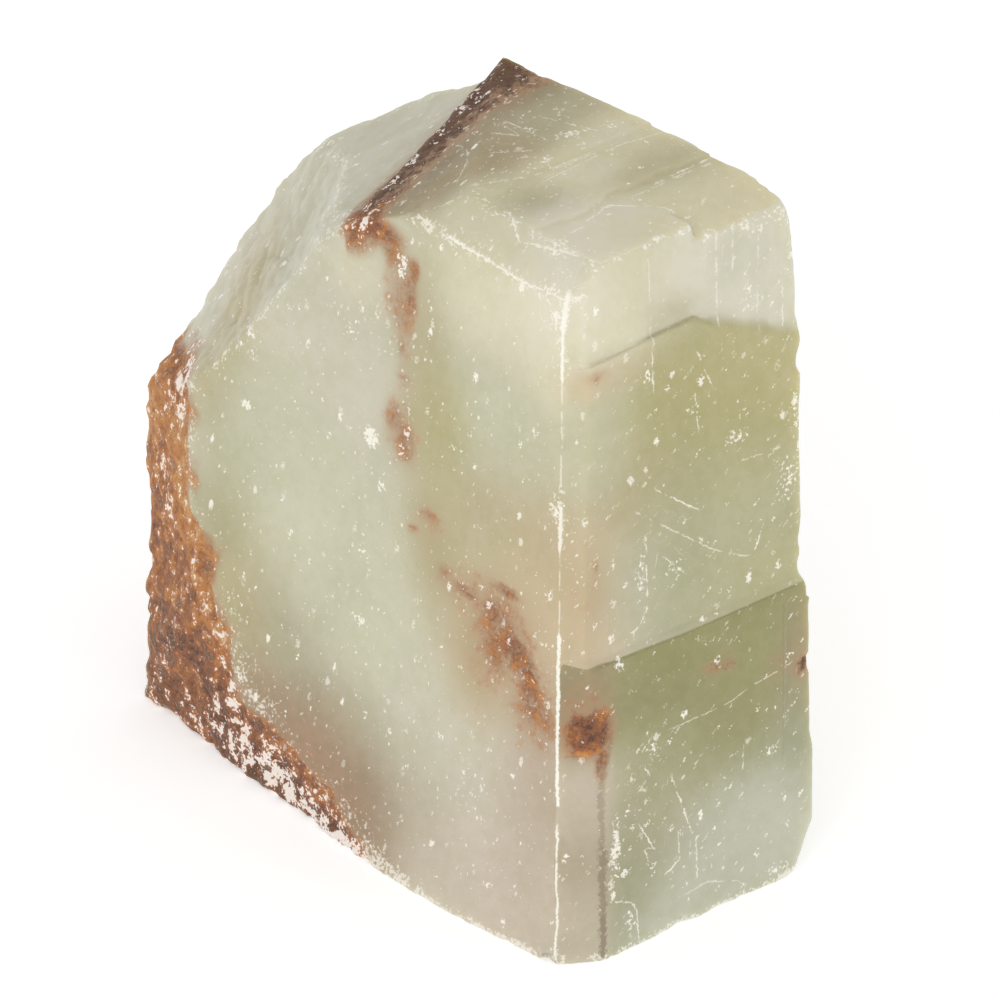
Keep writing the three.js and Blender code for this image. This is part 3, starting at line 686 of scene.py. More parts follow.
def face_carving(crystal, points):
    """Depths below the wide, narrow and top planes: noises, plus steps at cracks and ledges, chips
    that fade out above the foot, and flutes, which are noise drawn out along the front edge."""
    right, left, up = crystal.T
    upper, lower = crack_heights(right)
    ragged = noise(points, "upper_crack") * fade(crystal, CRACK_RAGGED)
    soft = rising(crystal, *CRACK_SOFTNESS)
    cap = ramp(up - upper - ragged, -soft, soft)
    foot = ramp(lower - up, *LOW_STEP)
    depth, shares, heights = BASE_CHIPS
    chips = depth * ramp(noise(points, "chips"), *shares) * ramp(points[:, UP], *heights)

    height, middle, spread, limit = FOOT_SWELL
    wide = noise(points, "wide_swell") + noise(points, "wide_ripple")
    wide -= height * np.exp(-(((left - middle) / spread) ** 2)) * fade(crystal, limit)

    narrow = CAP_DEPTH * cap - SHEET_PROUD * foot + noise(points, "narrow_swell")
    drawn_out = np.stack([right, up * FLUTE_LENGTHENING, np.zeros(len(points))], axis=1)
    narrow += noise(drawn_out, "flutes") * cap * fade(crystal, FLUTED)
    for step in CAP_STEPS:
        narrow += faded(crystal, *step) * cap
    narrow += faded(crystal, *FOOT_STEP)

    top = noise(points, "top_swell")
    for depth, across, edge in TOP_LEDGES:
        border = np.interp(right, across, edge) + noise(points, "ledges")
        top += depth * ramp(border - left, *LOW_STEP)
    return wide + chips, narrow + chips, top


def inside_outline(first, second, outline):
    """Distance inside a convex outline: the least over its sides of crispness * distance to it."""
    corners = np.array([corner[:2] for corner in outline], float)
    inner = corners.mean(axis=0)
    distances = []
    for corner, start, end in zip(outline, corners, np.roll(corners, -1, axis=0)):
        across = np.array([start[1] - end[1], end[0] - start[0]]) / np.linalg.norm(end - start)
        if across @ (inner - start) < 0:
            across = -across
        crisp = corner[2] if len(corner) > 2 else CRISP
        distances.append(crisp * ((first - start[0]) * across[0] + (second - start[1]) * across[1]))
    return np.min(distances, axis=0)


class Relief:
    """Offsets of every face along fixed rays, worked out once and used while the rays are cut."""

    def __init__(self, points=None):
        self.faces = (0.0, 0.0, 0.0)
        self.rough = (0.0, 0.0, 0.0, 0.0)
        self.crust = 0.0
        self.rounding = PLAIN_ROUNDING
        if points is None:
            return
        crystal = unplace(points)
        calm = ramp(np.linalg.norm(points - place(RIDGE_HIGH), axis=1), *CALM)
        self.faces = face_carving(crystal, points)
        fine = noise(points, "fine_grit")
        waves = noise(points, "waves"), noise(points, "wave_grit")
        lumps = noise(points, "lumps"), 0.5 - knobs(points, *LUMP_KNOBS)
        shapes = (waves, waves, lumps, lumps)
        self.rough = [
            (broad * shape[0] + close * shape[1] + small * fine) * calm
            for (broad, close, small), shape in zip(RELIEF_HEIGHTS, shapes)
        ]
        stained = ramp(stain_fields(crystal, points)[0], *CRUST_STEP)
        stained = stained * (RIDGE_CRUST + (1 - RIDGE_CRUST) * calm)
        self.crust = CRUST_HEIGHT * stained * (1 - knobs(points, *CRUST_KNOBS))
        worn = WORN_ROUNDING * ramp(noise(points, "rounding"), *WORN_STEP) * calm
        self.rounding = LEAST_ROUNDING + CALM_ROUNDING * calm + worn


def face_distances(points, relief):
    """Signed distance outside every face, one column for each: the named ones, then the terraces."""
    crystal = unplace(points)
    right, left, up = crystal.T

    def outside(through, kind):
        return above(points, plane(through)) + relief.rough[kind]

    columns = [above(points, flat) + carved for flat, carved in zip(SEEN_PLANES, relief.faces)]
    columns += [-points[:, UP], right - RIGHT_LENGTH, left - LEFT_LENGTH]
    columns += [outside(*face) for face in BREAKS.values()]
    nose = FACES.index("left_nose")
    columns[nose] = columns[nose] - NOSE_LIFT[0] * ramp(left, *NOSE_LIFT[1:])
    notch = right - RIGHT_NOTCH
    limits = (outside(*RIDGE_WALL), up - BACK_STEP_UP, LOWER_BEVEL_UP - up, notch, notch)
    columns += [np.minimum(outside(*face), limit) for face, limit in zip(PART_BREAKS.values(), limits)]
    for depth, outline in BACK_TERRACES:
        columns.append(np.minimum(right - depth + relief.rough[WAVY], inside_outline(left, up, outline)))
    return np.stack(columns, axis=1)


def columns_of(distances, names):
    """The named faces' columns of face_distances."""
    return distances[:, [FACES.index(name) for name in names]]


def block_depth(points, relief):
    """Rounded largest of the face distances: k * log(sum(exp(d / k))) with rounding k."""
    distances = face_distances(points, relief)
    nearest = distances.max(axis=1)
    k = relief.rounding
    spread = np.exp((distances - nearest[:, None]) / np.reshape(k, (-1, 1))).sum(axis=1)
    return nearest + k * np.log(spread) + relief.crust


def close_ended(count):
    """Steps from 0 to 1 that are closer at both ends: s - c * sin(2 pi s) / (2 pi)."""
    s = np.linspace(0, 1, count + 1)
    return s - CLOSE_ENDS * np.sin(2 * np.pi * s) / (2 * np.pi)


def box_grid(counts):
    """Whole-number points over a box's six sides, each once, and its outward square faces."""
    rows, quads, start = [], [], 0
    for axis, side in itertools.product(range(3), (0, 1)):
        first, second = (axis + 1) % 3, (axis + 2) % 3
        u, v = np.meshgrid(np.arange(counts[first] + 1), np.arange(counts[second] + 1), indexing="ij")
        points = np.zeros(u.shape + (3,), int)
        points[..., axis] = side * counts[axis]
        points[..., first], points[..., second] = u, v
        index = start + np.arange(u.size).reshape(u.shape)
        corners = [index[:-1, :-1], index[1:, :-1], index[1:, 1:], index[:-1, 1:]]
        if side == 0:
            corners.reverse()
        quads.append(np.stack(corners, axis=-1).reshape(-1, 4))
        rows.append(points.reshape(-1, 3))
        start += u.size
    unique, merged = np.unique(np.concatenate(rows), axis=0, return_inverse=True)
    return unique, merged.reshape(-1)[np.concatenate(quads)]


def cut_rays(targets, relief):
    """Where each ray from the centre through its target leaves the block, by repeated halving."""
    centre = place(RAY_CENTRE)
    low, high = (np.full(len(targets), share) for share in REACH)
    for _ in range(HALVINGS):
        middle = (low + high) / 2
        solid = block_depth(centre + middle[:, None] * (targets - centre), relief) < 0
        low = np.where(solid, middle, low)
        high = np.where(solid, high, middle)
    return centre + low[:, None] * (targets - centre)


def block_surface():
    """Points and faces: rays through a box's grid are cut once plain and once with the relief."""
    grid, quads = box_grid(CELLS)
    shares = np.stack([close_ended(count)[grid[:, axis]] for axis, count in enumerate(CELLS)], axis=1)
    targets = place(shares * RAY_BOX)
    relief = Relief(cut_rays(targets, Relief()))
    points = np.clip(cut_rays(targets, relief), np.array(CAD_LOW) / MM, np.array(CAD_HIGH) / MM)
    return points, quads, relief


# ---------------------------------------------------------------------------------------------
# What the stone's finish reads from its surface


def blobs(crystal, spots):
    """Sum over spots of strength * exp(-(distance in spreads)^2)."""
    total = np.zeros(len(crystal))
    for centre, spread, strength in spots:
        total += strength * np.exp(-(((crystal - centre) / spread) ** 2).sum(axis=1))
    return total


def zone_tones(crystal, zones, look, base):
    """Mean of the zones' tones, weighted by their blobs, with a small share of the base tone."""
    weight = np.full(len(crystal), BASE_SHARE)
    total = weight[:, None] * np.array(getattr(look, base))
    for tone, spots in zones.items():
        share = blobs(crystal, spots)
        total += share[:, None] * np.array(getattr(look, tone))
        weight += share
    return total / weight[:, None]


def patch_distance(crystal, outlines):
    """Greatest distance inside any of the outlines on the top, and well outside them below it."""
    right, left, up = crystal.T
    inside = np.max([inside_outline(right, left, outline) for outline in outlines], axis=0)
    return np.clip(inside, -BORDER_REACH, BORDER_REACH) - ramp(up, *PATCH_UP)


def stain_fields(crystal, points):
    """Iron stain from 0 up, as the largest of the rind, the ridge, the vein and the spots plus a
    share of what a spot overlaps, and its darkness: sum(darkness * stain) / sum(stain)."""
    right, up = crystal[:, RIGHT], crystal[:, UP]
    uneven, patchy = noise(points, "stain"), noise(points, "stain_grit")
    depth = rind_depth(crystal)
    top = RIND_TOP - RIND_TOP_FALL * np.clip(right, 0, RIND_TOP_REACH)
    rind = ramp(depth + RIND_WANDER * uneven + RIND_RAGGED * patchy, *RIND_STEP)
    rind *= ramp(up + RIND_TOP_RAGGED * patchy - top, *RIND_TOP_STEP)
    lost = fade(crystal, RIND_BACK) * ramp(uneven, *RIND_PATCHES)
    rind *= RIND_COVER + RIND_VARIES * patchy - RIND_LOST * lost
    ridge = np.clip(RIDGE_REACH - ridge_distance(crystal), 0, 1) * fade(crystal, RIDGE_UP)
    ridge *= rising(crystal, *RIDGE_STRENGTH)
    vein = VEIN_STRENGTH * np.exp(-((vein_distance(crystal) / (VEIN_WIDTH + uneven)) ** 2))
    vein *= fade(crystal, *VEIN_FADES) * ramp(noise(points, "vein"), *VEIN_STEP)
    stain = np.maximum.reduce([rind, ridge, vein])
    rind_dark = RIND_DARK + RIND_DARK_OUT * ramp(depth, *RIND_DARK_STEP) + RIND_DARK_VARIES * uneven
    for step in RIND_DARK_UP:
        rind_dark += faded(crystal, *step)
    dark = rind_dark * rind + rising(crystal, *RIDGE_DARK) * ridge + VEIN_DARK * vein
    weight = rind + ridge + vein + LEAST_WEIGHT
    for centre, spread, strength, darkness in STAINS:
        share = blobs(crystal, ((centre, spread, strength),))
        stain = np.maximum(stain, share) + STAIN_OVERLAP * np.minimum(stain, share)
        dark += darkness * share
        weight += share
    return stain, dark / weight


def bruise_field(points):
    """Largest of the bruises' own bumps: strength * (1 - d^2 / 2), with d in half sizes."""
    field = np.zeros(len(points))
    for face, spots in BRUISES.items():
        for first, second, wide, tall, strength in spots:
            centre = on_face(face, first, second)
            along = on_face(face, first + 1, second) - centre
            up = on_face(face, first, second + 1) - centre
            local = (points - centre) @ np.linalg.inv(np.array([along, up, SEEN_PLANES[face][0]]))
            distance = ((local / (wide, tall, BRUISE_DEPTH)) ** 2).sum(axis=1)
            field = np.maximum(field, strength * (1 - distance / 2))
    return field


def mark_field(points, marks):
    """Nearest mark: signed distance over its half width, its strength, and 0."""
    best = np.full(len(points), np.inf)
    field = np.zeros((len(points), 3))
    pieces = [(face, *mark) for face, own in marks.items() for mark in own]
    for face, half_width, strength, path in pieces:
        ends = [on_face(face, *spot) for spot in path]
        for start, end in zip(ends[:-1], ends[1:]):
            length = np.linalg.norm(end - start)
            along = (end - start) / length
            side = np.cross(SEEN_PLANES[face][0], along)
            offset = points - start
            run = np.clip(offset @ along, 0, length)
            distance = np.linalg.norm(offset - run[:, None] * along, axis=1)
            nearer = distance < best
            best[nearer] = distance[nearer]
            field[nearer, 0] = (offset @ side / half_width)[nearer]
            field[nearer, 1] = (strength * ramp(distance, MARK_FADE[1], MARK_FADE[0]))[nearer]
    return field


def surface_fields(points, relief, look):
    """Every value that the stone's material reads, by name, one for each point."""
    crystal = unplace(points)
    right, up = crystal[:, RIGHT], crystal[:, UP]
    distances = face_distances(points, relief)
    lid = columns_of(distances, LID_FACES).max(axis=1) - columns_of(distances, LID_NEIGHBOURS).max(axis=1)
    # White of edges: wear plus painted glow of thin edges.
    edge_white_faces = [name for name in FACES if name not in FACES_WITHOUT_EDGE_WHITE]
    outermost = np.sort(columns_of(distances, edge_white_faces), axis=1)
    wide_side, narrow_side = (ramp(above(points, flat), *ON_FACE) for flat in (WIDE_PLANE, NARROW_PLANE))
    wear_and_glow = faded(crystal, *FOOT_WEAR_AND_GLOW) * np.maximum(narrow_side, wide_side)
    wear_and_glow += faded(crystal, *SIDE_WEAR_AND_GLOW) * narrow_side
    upper, lower = crack_heights(right)
    # Side of the narrow face's cracks, where the sheets' tones with their painted crack light take over.
    sheet = np.maximum((up - upper) * (1 - faded(crystal, *SHEET_SOFTENING)), lower - up)
    stain, darkness = stain_fields(crystal, points)
    # Pale grains of the crust, partly painted glints.
    crust = rising(crystal, *RIND_GRAINS_AND_GLINTS) * ramp(rind_depth(crystal), *RIND_GRAIN_GLINT_STEP)
    crust += blobs(crystal, CRUST_GRAIN_AND_GLINT_PATCHES)
    crust += RIDGE_GRAINS_AND_GLINTS * np.exp(-((ridge_distance(crystal) / RIDGE_GRAIN_GLINT_SPREAD) ** 2))
    sugar = SUGAR_BASE + blobs(crystal, SUGAR)
    drift = 1 + noise(points, "drift")[:, None] * DRIFT_BALANCE
    pale, deep = (patch_distance(crystal, outlines) for outlines in (PALE_PATCHES, DEEP_PATCHES))
    near_sheet, near_lid = (np.clip(border, -BORDER_REACH, BORDER_REACH) for border in (sheet, lid))
    return {
        "tone": drift * zone_tones(crystal, HEART_ZONES, look, "cloud"),
        "sheet_tone": drift * zone_tones(crystal, SHEET_ZONES, look, "sage"),
        "sheet": near_sheet * narrow_side - BORDER_REACH * (1 - narrow_side),
        "lid": near_lid * (1 - faded(crystal, *LID_SOFTENING)),
        # The top's tones, lifted as painted light.
        "lid_tone": LID_LIGHT_GAIN * drift * zone_tones(crystal, LID_ZONES, look, "khaki"),
        "patches": np.stack([pale, deep, sugar], axis=1),
        "stain": stain,
        "darkness": darkness,
        "bruise": bruise_field(points),
        "edge": -outermost[:, -2] - wear_and_glow,
        "crust": crust,
        "fractures": mark_field(points, FRACTURES),
        "front_edge": mark_field(points, FRONT_EDGE),
        "seams": mark_field(points, SEAM_SHADE_AND_STAIN_LINES),
    }


def mesh_object(name, points, quads):
    """Smooth-shaded object at the origin from points in millimetres and square faces."""
    mesh = bpy.data.meshes.new(name)
    mesh.vertices.add(len(points))
    mesh.vertices.foreach_set("co", (points * MM).astype(np.float32).ravel())
    mesh.loops.add(quads.size)
    mesh.loops.foreach_set("vertex_index", quads.astype(np.int32).ravel())
    mesh.polygons.add(len(quads))
    mesh.polygons.foreach_set("loop_start", np.arange(0, quads.size, 4, dtype=np.int32))
    mesh.polygons.foreach_set("use_smooth", np.ones(len(quads), bool))
    mesh.update(calc_edges=True)
    mesh.validate()
    piece = bpy.data.objects.new(name, mesh)
    bpy.context.scene.collection.objects.link(piece)
    return piece


def write_fields(piece, fields):
    """Stores each field as a point attribute: a number, a vector or, for tones, a colour."""
    for name, values in fields.items():
        kind, part = ("FLOAT", "value") if values.ndim == 1 else ("FLOAT_VECTOR", "vector")
        if name.endswith("tone"):
            kind, part = "FLOAT_COLOR", "color"
            values = np.concatenate([values, np.ones((len(values), 1))], axis=1)
        layer = piece.data.attributes.new(name, kind, "POINT")
        layer.data.foreach_set(part, values.astype(np.float32).ravel())


# ---------------------------------------------------------------------------------------------
# Shader nodes


class Value:
    """A node's output. Arithmetic with a number or another value adds a Math node to its tree."""

    def __init__(self, socket):
        self.socket = socket
        self.tree = socket.id_data

    def maths(self, operation, first, second):
        made = node(self.tree, "ShaderNodeMath", {0: first, 1: second}, operation=operation)
        return Value(made.outputs[0])

    def __add__(self, other):
        return self.maths("ADD", self, other)

    def __sub__(self, other):
        return self.maths("SUBTRACT", self, other)

    def __rsub__(self, other):
        return self.maths("SUBTRACT", other, self)

    def __mul__(self, other):
        return self.maths("MULTIPLY", self, other)

    def __rtruediv__(self, other):
        return self.maths("DIVIDE", other, self)

    def __lt__(self, other):
        return self.maths("LESS_THAN", self, other)

    def at_least(self, other):
        return self.maths("MAXIMUM", self, other)

    def absolute(self):
        return self.maths("ABSOLUTE", self, 0.0)

    def step(self, low, high, bottom=0.0, top=1.0):
        """Smooth step between low and high, from bottom to top."""
        values = {"Value": self, "From Min": low, "From Max": high, "To Min": bottom, "To Max": top}
        made = node(self.tree, "ShaderNodeMapRange", values, interpolation_type="SMOOTHSTEP")
        return Value(made.outputs["Result"])

    def feed(self, entry):
        """Links the value to an input socket."""
        self.tree.links.new(self.socket, entry)


def node(tree, kind, values=None, **settings):
    """New node with its settings, and its inputs set to numbers or fed by values."""
    made = tree.nodes.new(kind)
    for name, value in settings.items():
        setattr(made, name, value)
    for key, value in (values or {}).items():
        if isinstance(value, Value):
            value.feed(made.inputs[key])
        else:
            made.inputs[key].default_value = value
    return made


def vector_maths(tree, operation, values):
    """Vector that one Vector Math node gives."""
    return Value(node(tree, "ShaderNodeVectorMath", values, operation=operation).outputs[0])


def parts_of(tree, kind, value):
    """The three numbers of a vector or colour, split by a node of the given kind."""
    return [Value(part) for part in node(tree, kind, {0: value}).outputs]


def blend(tree, share, first, second, kind="MIX"):
    """Colour blended from first to second by share."""
    values = {0: share, 6: first, 7: second}
    made = node(tree, "ShaderNodeMix", values, data_type="RGBA", blend_type=kind, clamp_factor=True)
    return Value(made.outputs[2])


def noise_of(tree, position, scale, detail, roughness):
    """Noise value of a position in millimetres, with scale in cells per millimetre."""
    values = {"Vector": position, "Scale": scale, "Detail": detail, "Roughness": roughness}
    return Value(node(tree, "ShaderNodeTexNoise", values).outputs["Fac"])


def attribute(tree, name, output="Fac"):
    """Value of one of the piece's own attributes."""
    return Value(node(tree, "ShaderNodeAttribute", attribute_name=name).outputs[output])


def rgba(colour):
    """Colour with full alpha."""
    return (*colour, 1.0)


SOCKETS = {"float": "NodeSocketFloat", "vector": "NodeSocketVector", "colour": "NodeSocketColor"}


def new_group(name, inputs, outputs):
    """Empty node group with named sockets, the values given to it and its output sockets."""
    tree = bpy.data.node_groups.new(name, "ShaderNodeTree")
    for direction, sockets in (("INPUT", inputs), ("OUTPUT", outputs)):
        for label, kind in sockets.items():
            tree.interface.new_socket(name=label, in_out=direction, socket_type=SOCKETS[kind])
    sockets = tree.nodes.new("NodeGroupInput").outputs
    given = {label: Value(sockets[label]) for label in inputs}
    return tree, given, tree.nodes.new("NodeGroupOutput").inputs


def use_group(tree, name, values):
    """Outputs, by name, of a placed node group."""
    made = node(tree, "ShaderNodeGroup", values, node_tree=bpy.data.node_groups[name])
    return {socket.name: Value(socket) for socket in made.outputs}


def build_fleck_group():
    """Scattered flecks: round cells kept by chance, each with its own size and clearness."""
    inputs = {"Position": "vector", "Stretch": "vector", "Cell": "float", "Share": "float", "Size": "float"}
    tree, given, out = new_group("Scattered Flecks", inputs, {"Mask": "float"})
    stretched = vector_maths(tree, "MULTIPLY", {0: given["Position"], 1: given["Stretch"]})
    scaled = vector_maths(tree, "SCALE", {0: stretched, "Scale": 1.0 / given["Cell"]})
    cells = node(tree, "ShaderNodeTexVoronoi", {"Vector": scaled, "Scale": 1.0, "Randomness": 1.0})
    chances = Value(cells.outputs["Color"])
    chance, size_chance, clear_chance = parts_of(tree, "ShaderNodeSeparateColor", chances)
    own_size = size_chance.step(0.0, 1.0, FLECK_LEAST) * given["Size"]
    round_mask = Value(cells.outputs["Distance"]).step(own_size, own_size * FLECK_CORE)
    clear = clear_chance.step(0.0, 1.0, FLECK_LEAST)
    ((chance < given["Share"]) * (round_mask * clear)).feed(out["Mask"])


def build_hairline_group():
    """A crack line: full within its half width, made to wander, fray and break by two noises."""
    inputs = {"Mark": "vector", "Noise": "float", "Sway": "float", "Breaks": "float", "Gaps": "float"}
    tree, given, out = new_group("Hairline Crack", inputs, {"Mask": "float"})
    off, strength, _ = parts_of(tree, "ShaderNodeSeparateXYZ", given["Mark"])
    line = (off + (given["Noise"] - 0.5) * given["Sway"]).absolute().step(*STEPS["line"])
    bold = (strength - BOLD_MARK).at_least(0.0)
    whole = (given["Breaks"] + bold).step(given["Gaps"], given["Gaps"] + GAP_STEP)
    (line * whole * strength).feed(out["Mask"])


def build_iron_group(look):
    """Iron stain: a grainy share of cover, and its colour from bright orange to dark brown."""
    inputs = {"Amount": "float", "Darkness": "float", "Coarse": "float", "Fine": "float"}
    outputs = {"Mask": "float", "Haze": "float", "Colour": "colour"}
    tree, given, out = new_group("Iron Stain", inputs, outputs)
    amount, coarse, fine = given["Amount"], given["Coarse"] - 0.5, given["Fine"] - 0.5

    def mixed(shares):
        """Coarse and fine noise, each times its own share."""
        return coarse * shares[0] + fine * shares[1]

    (amount + mixed(COVER_MOTTLE)).step(*STEPS["iron"]).feed(out["Mask"])
    (amount + coarse * HAZE_MOTTLE).step(*STEPS["haze"]).feed(out["Haze"])
    thin = (1.0 - amount).at_least(0.0) * THIN_STAIN
    shade = given["Darkness"] + thin + mixed(SHADE_MOTTLE)
    colour = rgba(look.rust_ochre)
    for tone in ("rust_orange", "rust_brown", "rust_dark", "ridge_brown"):
        colour = blend(tree, shade.step(*STEPS[tone]), colour, rgba(getattr(look, tone)))
    colour.feed(out["Colour"])


def stone_material(look):
    """Cloudy stone with sugary flecks, bruises, hairline cracks and iron stain over its tones, with painted
    light: sparkle in the flecks, glints in the crust, glow on worn edges, shade in the seams and brightness
    steps at the narrow face's cracks.
    """
    material = bpy.data.materials.new("Cloudy Calcite")
    material.use_nodes = True
    tree = material.node_tree
    coords = Value(node(tree, "ShaderNodeTexCoord").outputs["Object"])
    position = vector_maths(tree, "SCALE", {0: coords, "Scale": 1 / MM})
    mottle = noise_of(tree, position, *MOTTLE_NOISE)
    grain = noise_of(tree, position, *GRAIN_NOISE)
    pale, deep, sugar = parts_of(tree, "ShaderNodeSeparateXYZ", attribute(tree, "patches", "Vector"))

    # Body colour: the heart's tone, crossed to the sheets' and the top's at their crisp borders. The sheets'
    # tones hold painted light, as the brightness steps at the narrow face's two cracks stand in for light
    # thrown back by the open cracks, and the top's tone is lifted as painted light.
    colour = attribute(tree, "tone", "Color")
    for border in ("sheet", "lid"):
        tone = attribute(tree, border + "_tone", "Color")
        colour = blend(tree, attribute(tree, border).step(*STEPS[border]), colour, tone)
    colour = blend(tree, deep.step(*STEPS["deep"]), colour, rgba(look.honey))
    colour = blend(tree, pale.step(*STEPS["pale"]), colour, rgba(look.pearl))
    close = blend(tree, mottle.step(*STEPS["drift"]), *DRIFT_TONES)
    colour = blend(tree, 0.5, colour, close, "SOFT_LIGHT")

    # Iron stain under and over the surface, and brown seams that are partly stain and partly painted shade in
    # cracks and creases.
    amount = attribute(tree, "stain")
    values = {"Amount": amount, "Darkness": attribute(tree, "darkness"), "Coarse": mottle, "Fine": grain}
    iron = use_group(tree, "Iron Stain", values)
    colour = blend(tree, iron["Haze"], colour, rgba(look.blush_stain))
    colour = blend(tree, iron["Mask"], colour, iron["Colour"])
    lines = {}
    for mark, sway, gaps in LINES:
        values = {"Noise": grain, "Sway": sway, "Breaks": mottle, "Gaps": gaps}
        values["Mark"] = attribute(tree, mark, "Vector")
        lines[mark] = use_group(tree, "Hairline Crack", values)["Mask"]
    colour = blend(tree, lines["seams"] * SEAM_SHADE_SHARE, colour, rgba(look.seam))

    # White marks: the largest of the flecks, bruises, cracks, worn edges and grains of the crust. Partly
    # painted light: the flecks hold painted sparkle, the crust's grains painted glints and the worn edges the
    # painted glow of thin edges.
    uneven = grain - 0.5
    warped = vector_maths(tree, "ADD", {0: position, 1: uneven * FLECK_WARP})
    marks = []
    # Flecks: crushed white specks that also stand in as painted sparkle.
    for cell, share, size, stretch, strength in FLECKS_AND_SPARKLE:
        values = {"Position": warped, "Cell": cell, "Share": sugar * share, "Size": size, "Stretch": stretch}
        marks.append(use_group(tree, "Scattered Flecks", values)["Mask"] * strength)
    marks.append((attribute(tree, "bruise") + uneven * BRUISE_RAGGED).step(*STEPS["bruise"]))
    marks += [lines["fractures"], lines["front_edge"]]
    # Worn edges, white with wear and painted edge glow.
    edge = attribute(tree, "edge") - uneven * EDGE_RAGGED + (EDGE_MIDDLE - mottle) * EDGE_BROKEN
    marks.append(edge.step(*STEPS["worn"]))
    # Crust grains: pale crust with painted glints.
    crust = attribute(tree, "crust") + uneven * CRUST_RAGGED + (mottle - 0.5) * CRUST_LUMPY
    marks.append(crust.step(*STEPS["crust"]))
    white = marks[0]
    for mask in marks[1:]:
        white = white.at_least(mask)
    # White of the marks, pinkish in the iron; it holds painted sparkle, glints and edge glow as well as real
    # white marks.
    grains = blend(tree, iron["Mask"], rgba(look.bruise_and_glint_white), rgba(look.grain_and_glint_pink))
    colour = blend(tree, white, colour, grains)

    # Relief and finish.
    shader = tree.nodes["Principled BSDF"]
    height = grain * amount.step(*STEPS["relief"])
    bump = node(tree, "ShaderNodeBump", {"Height": height, "Strength": BUMP[0], "Distance": BUMP[1] * MM})
    rough = white.at_least(iron["Mask"]) * ADDED_ROUGHNESS + look.gloss
    colour.feed(shader.inputs["Base Color"])
    rough.feed(shader.inputs["Roughness"])
    Value(bump.outputs["Normal"]).feed(shader.inputs["Normal"])
    shader.inputs["IOR"].default_value = STONE_IOR
    shader.inputs["Subsurface Weight"].default_value = look.glow
    shader.inputs["Subsurface Radius"].default_value = GLOW_TINT
    shader.inputs["Subsurface Scale"].default_value = look.glow_depth
    return material


# ---------------------------------------------------------------------------------------------
# Add-on


def colour_of(label, about, default):
    """Colour property of a tone of the stone."""
    return bpy.props.FloatVectorProperty(
        name=label, description=about, subtype="COLOR", size=3, min=0.0, max=1.0, default=tint(*default)
    )


def number_of(label, about, default, **settings):
    """Number property that is never below 0, unless the settings say otherwise."""
    return bpy.props.FloatProperty(name=label, description=about, default=default, **{"min": 0, **settings})


class CalciteLook(bpy.types.PropertyGroup):
    """Tones and finish of the stone."""

    sea_green: colour_of("Sea Green", "Clear pale green of the wide face", (198, 197, 169))
    cloud: colour_of("Cloud", "Milky pale areas", (203, 199, 178))
    cream: colour_of("Cream", "Warm pale areas by the top edges", (221, 215, 186))
    pearl: colour_of("Pearl", "Greyish white areas", (219, 215, 198))
    honey: colour_of("Honey", "Yellowish areas", (184, 171, 131))
    olive: colour_of("Olive", "Yellow-green of the narrow face", (177, 169, 117))
    moss: colour_of("Moss", "Deep green below the lower crack", (147, 144, 96))
    sage: colour_of("Sage", "Greyish green", (173, 172, 135))
    khaki: colour_of("Khaki", "Dull areas of the top and foot", (174, 168, 140))
    umber: colour_of("Umber", "Brownish stone by the ridge", (138, 122, 94))
    straw: colour_of("Straw", "Pale yellowish top", (209, 203, 174))
    taupe: colour_of("Taupe", "Grey-brown stone near stained cracks", (163, 146, 116))
    slate: colour_of("Slate", "Grey-green strips of the narrow face", (158, 158, 128))
    mauve: colour_of("Mauve", "Brown haze at the lower left", (156, 130, 102))
    blush: colour_of("Blush", "Pinkish stone by the vein", (203, 181, 146))
    chalk: colour_of("Chalk", "Pinkish white of the foot", (196, 183, 164))
    frost: colour_of("Frost", "Grey-green white of the lower right", (195, 195, 178))
    blush_stain: colour_of("Stain Haze", "Faint stain round the iron", (178, 138, 103))
    rust_ochre: colour_of("Rust Ochre", "Thin yellow iron stain", (200, 152, 92))
    rust_orange: colour_of("Rust Orange", "Bright iron stain", (184, 120, 60))
    rust_brown: colour_of("Rust Brown", "Brown iron crust", (140, 86, 52))
    rust_dark: colour_of("Rust Dark", "Darkest iron crust", (86, 54, 36))
    ridge_brown: colour_of("Ridge Brown", "Dull brown of the ridge", (104, 72, 45))
    # Brown of the seams, partly stain and partly painted shade in cracks and creases.
    seam: colour_of("Seam", "Brown lines in cracks", (120, 94, 74))
    # Pale grains of the iron crust, partly painted glints.
    grain_and_glint_pink: colour_of("Pink Grains", "Pale grains in the iron crust", (249, 237, 228))
    # White of bruises and worn edges, also used for painted sparkle, glints and edge glow.
    bruise_and_glint_white: colour_of("Bruise White", "Crushed white marks and edges", (250, 245, 232))
    gloss: number_of("Roughness", "Roughness of the clean cleavage faces", 0.34, max=1, subtype="FACTOR")
    glow: number_of("Glow", "Share of light that passes into the stone", 0.5, max=1, subtype="FACTOR")
    glow_depth: number_of("Glow Depth", "How far light spreads in the stone", 0.003, unit="LENGTH")


class CalciteStage(bpy.types.PropertyGroup):
    """Floor, lights and camera."""

    floor_colour: colour_of("Floor", "Colour of the studio floor", (250, 250, 250))
    floor_glow: number_of("Floor Glow", "Light given off by the floor", 0.3)
    floor_radius: number_of("Floor Radius", "Half the width of the floor", 3.0, unit="LENGTH")
    sky: number_of("Room Light", "Strength of the even room light", 0.72)
    key: number_of("Key", "Power of the front light", 2.6, unit="POWER")
    fill: number_of("Fill", "Power of the right light", 1.1, unit="POWER")
    lens: number_of("Lens", "Focal length in millimetres", 324, min=1, subtype="DISTANCE_CAMERA")
    elevation: number_of("Elevation", "Height of the view above level", math.radians(35.5), subtype="ANGLE")


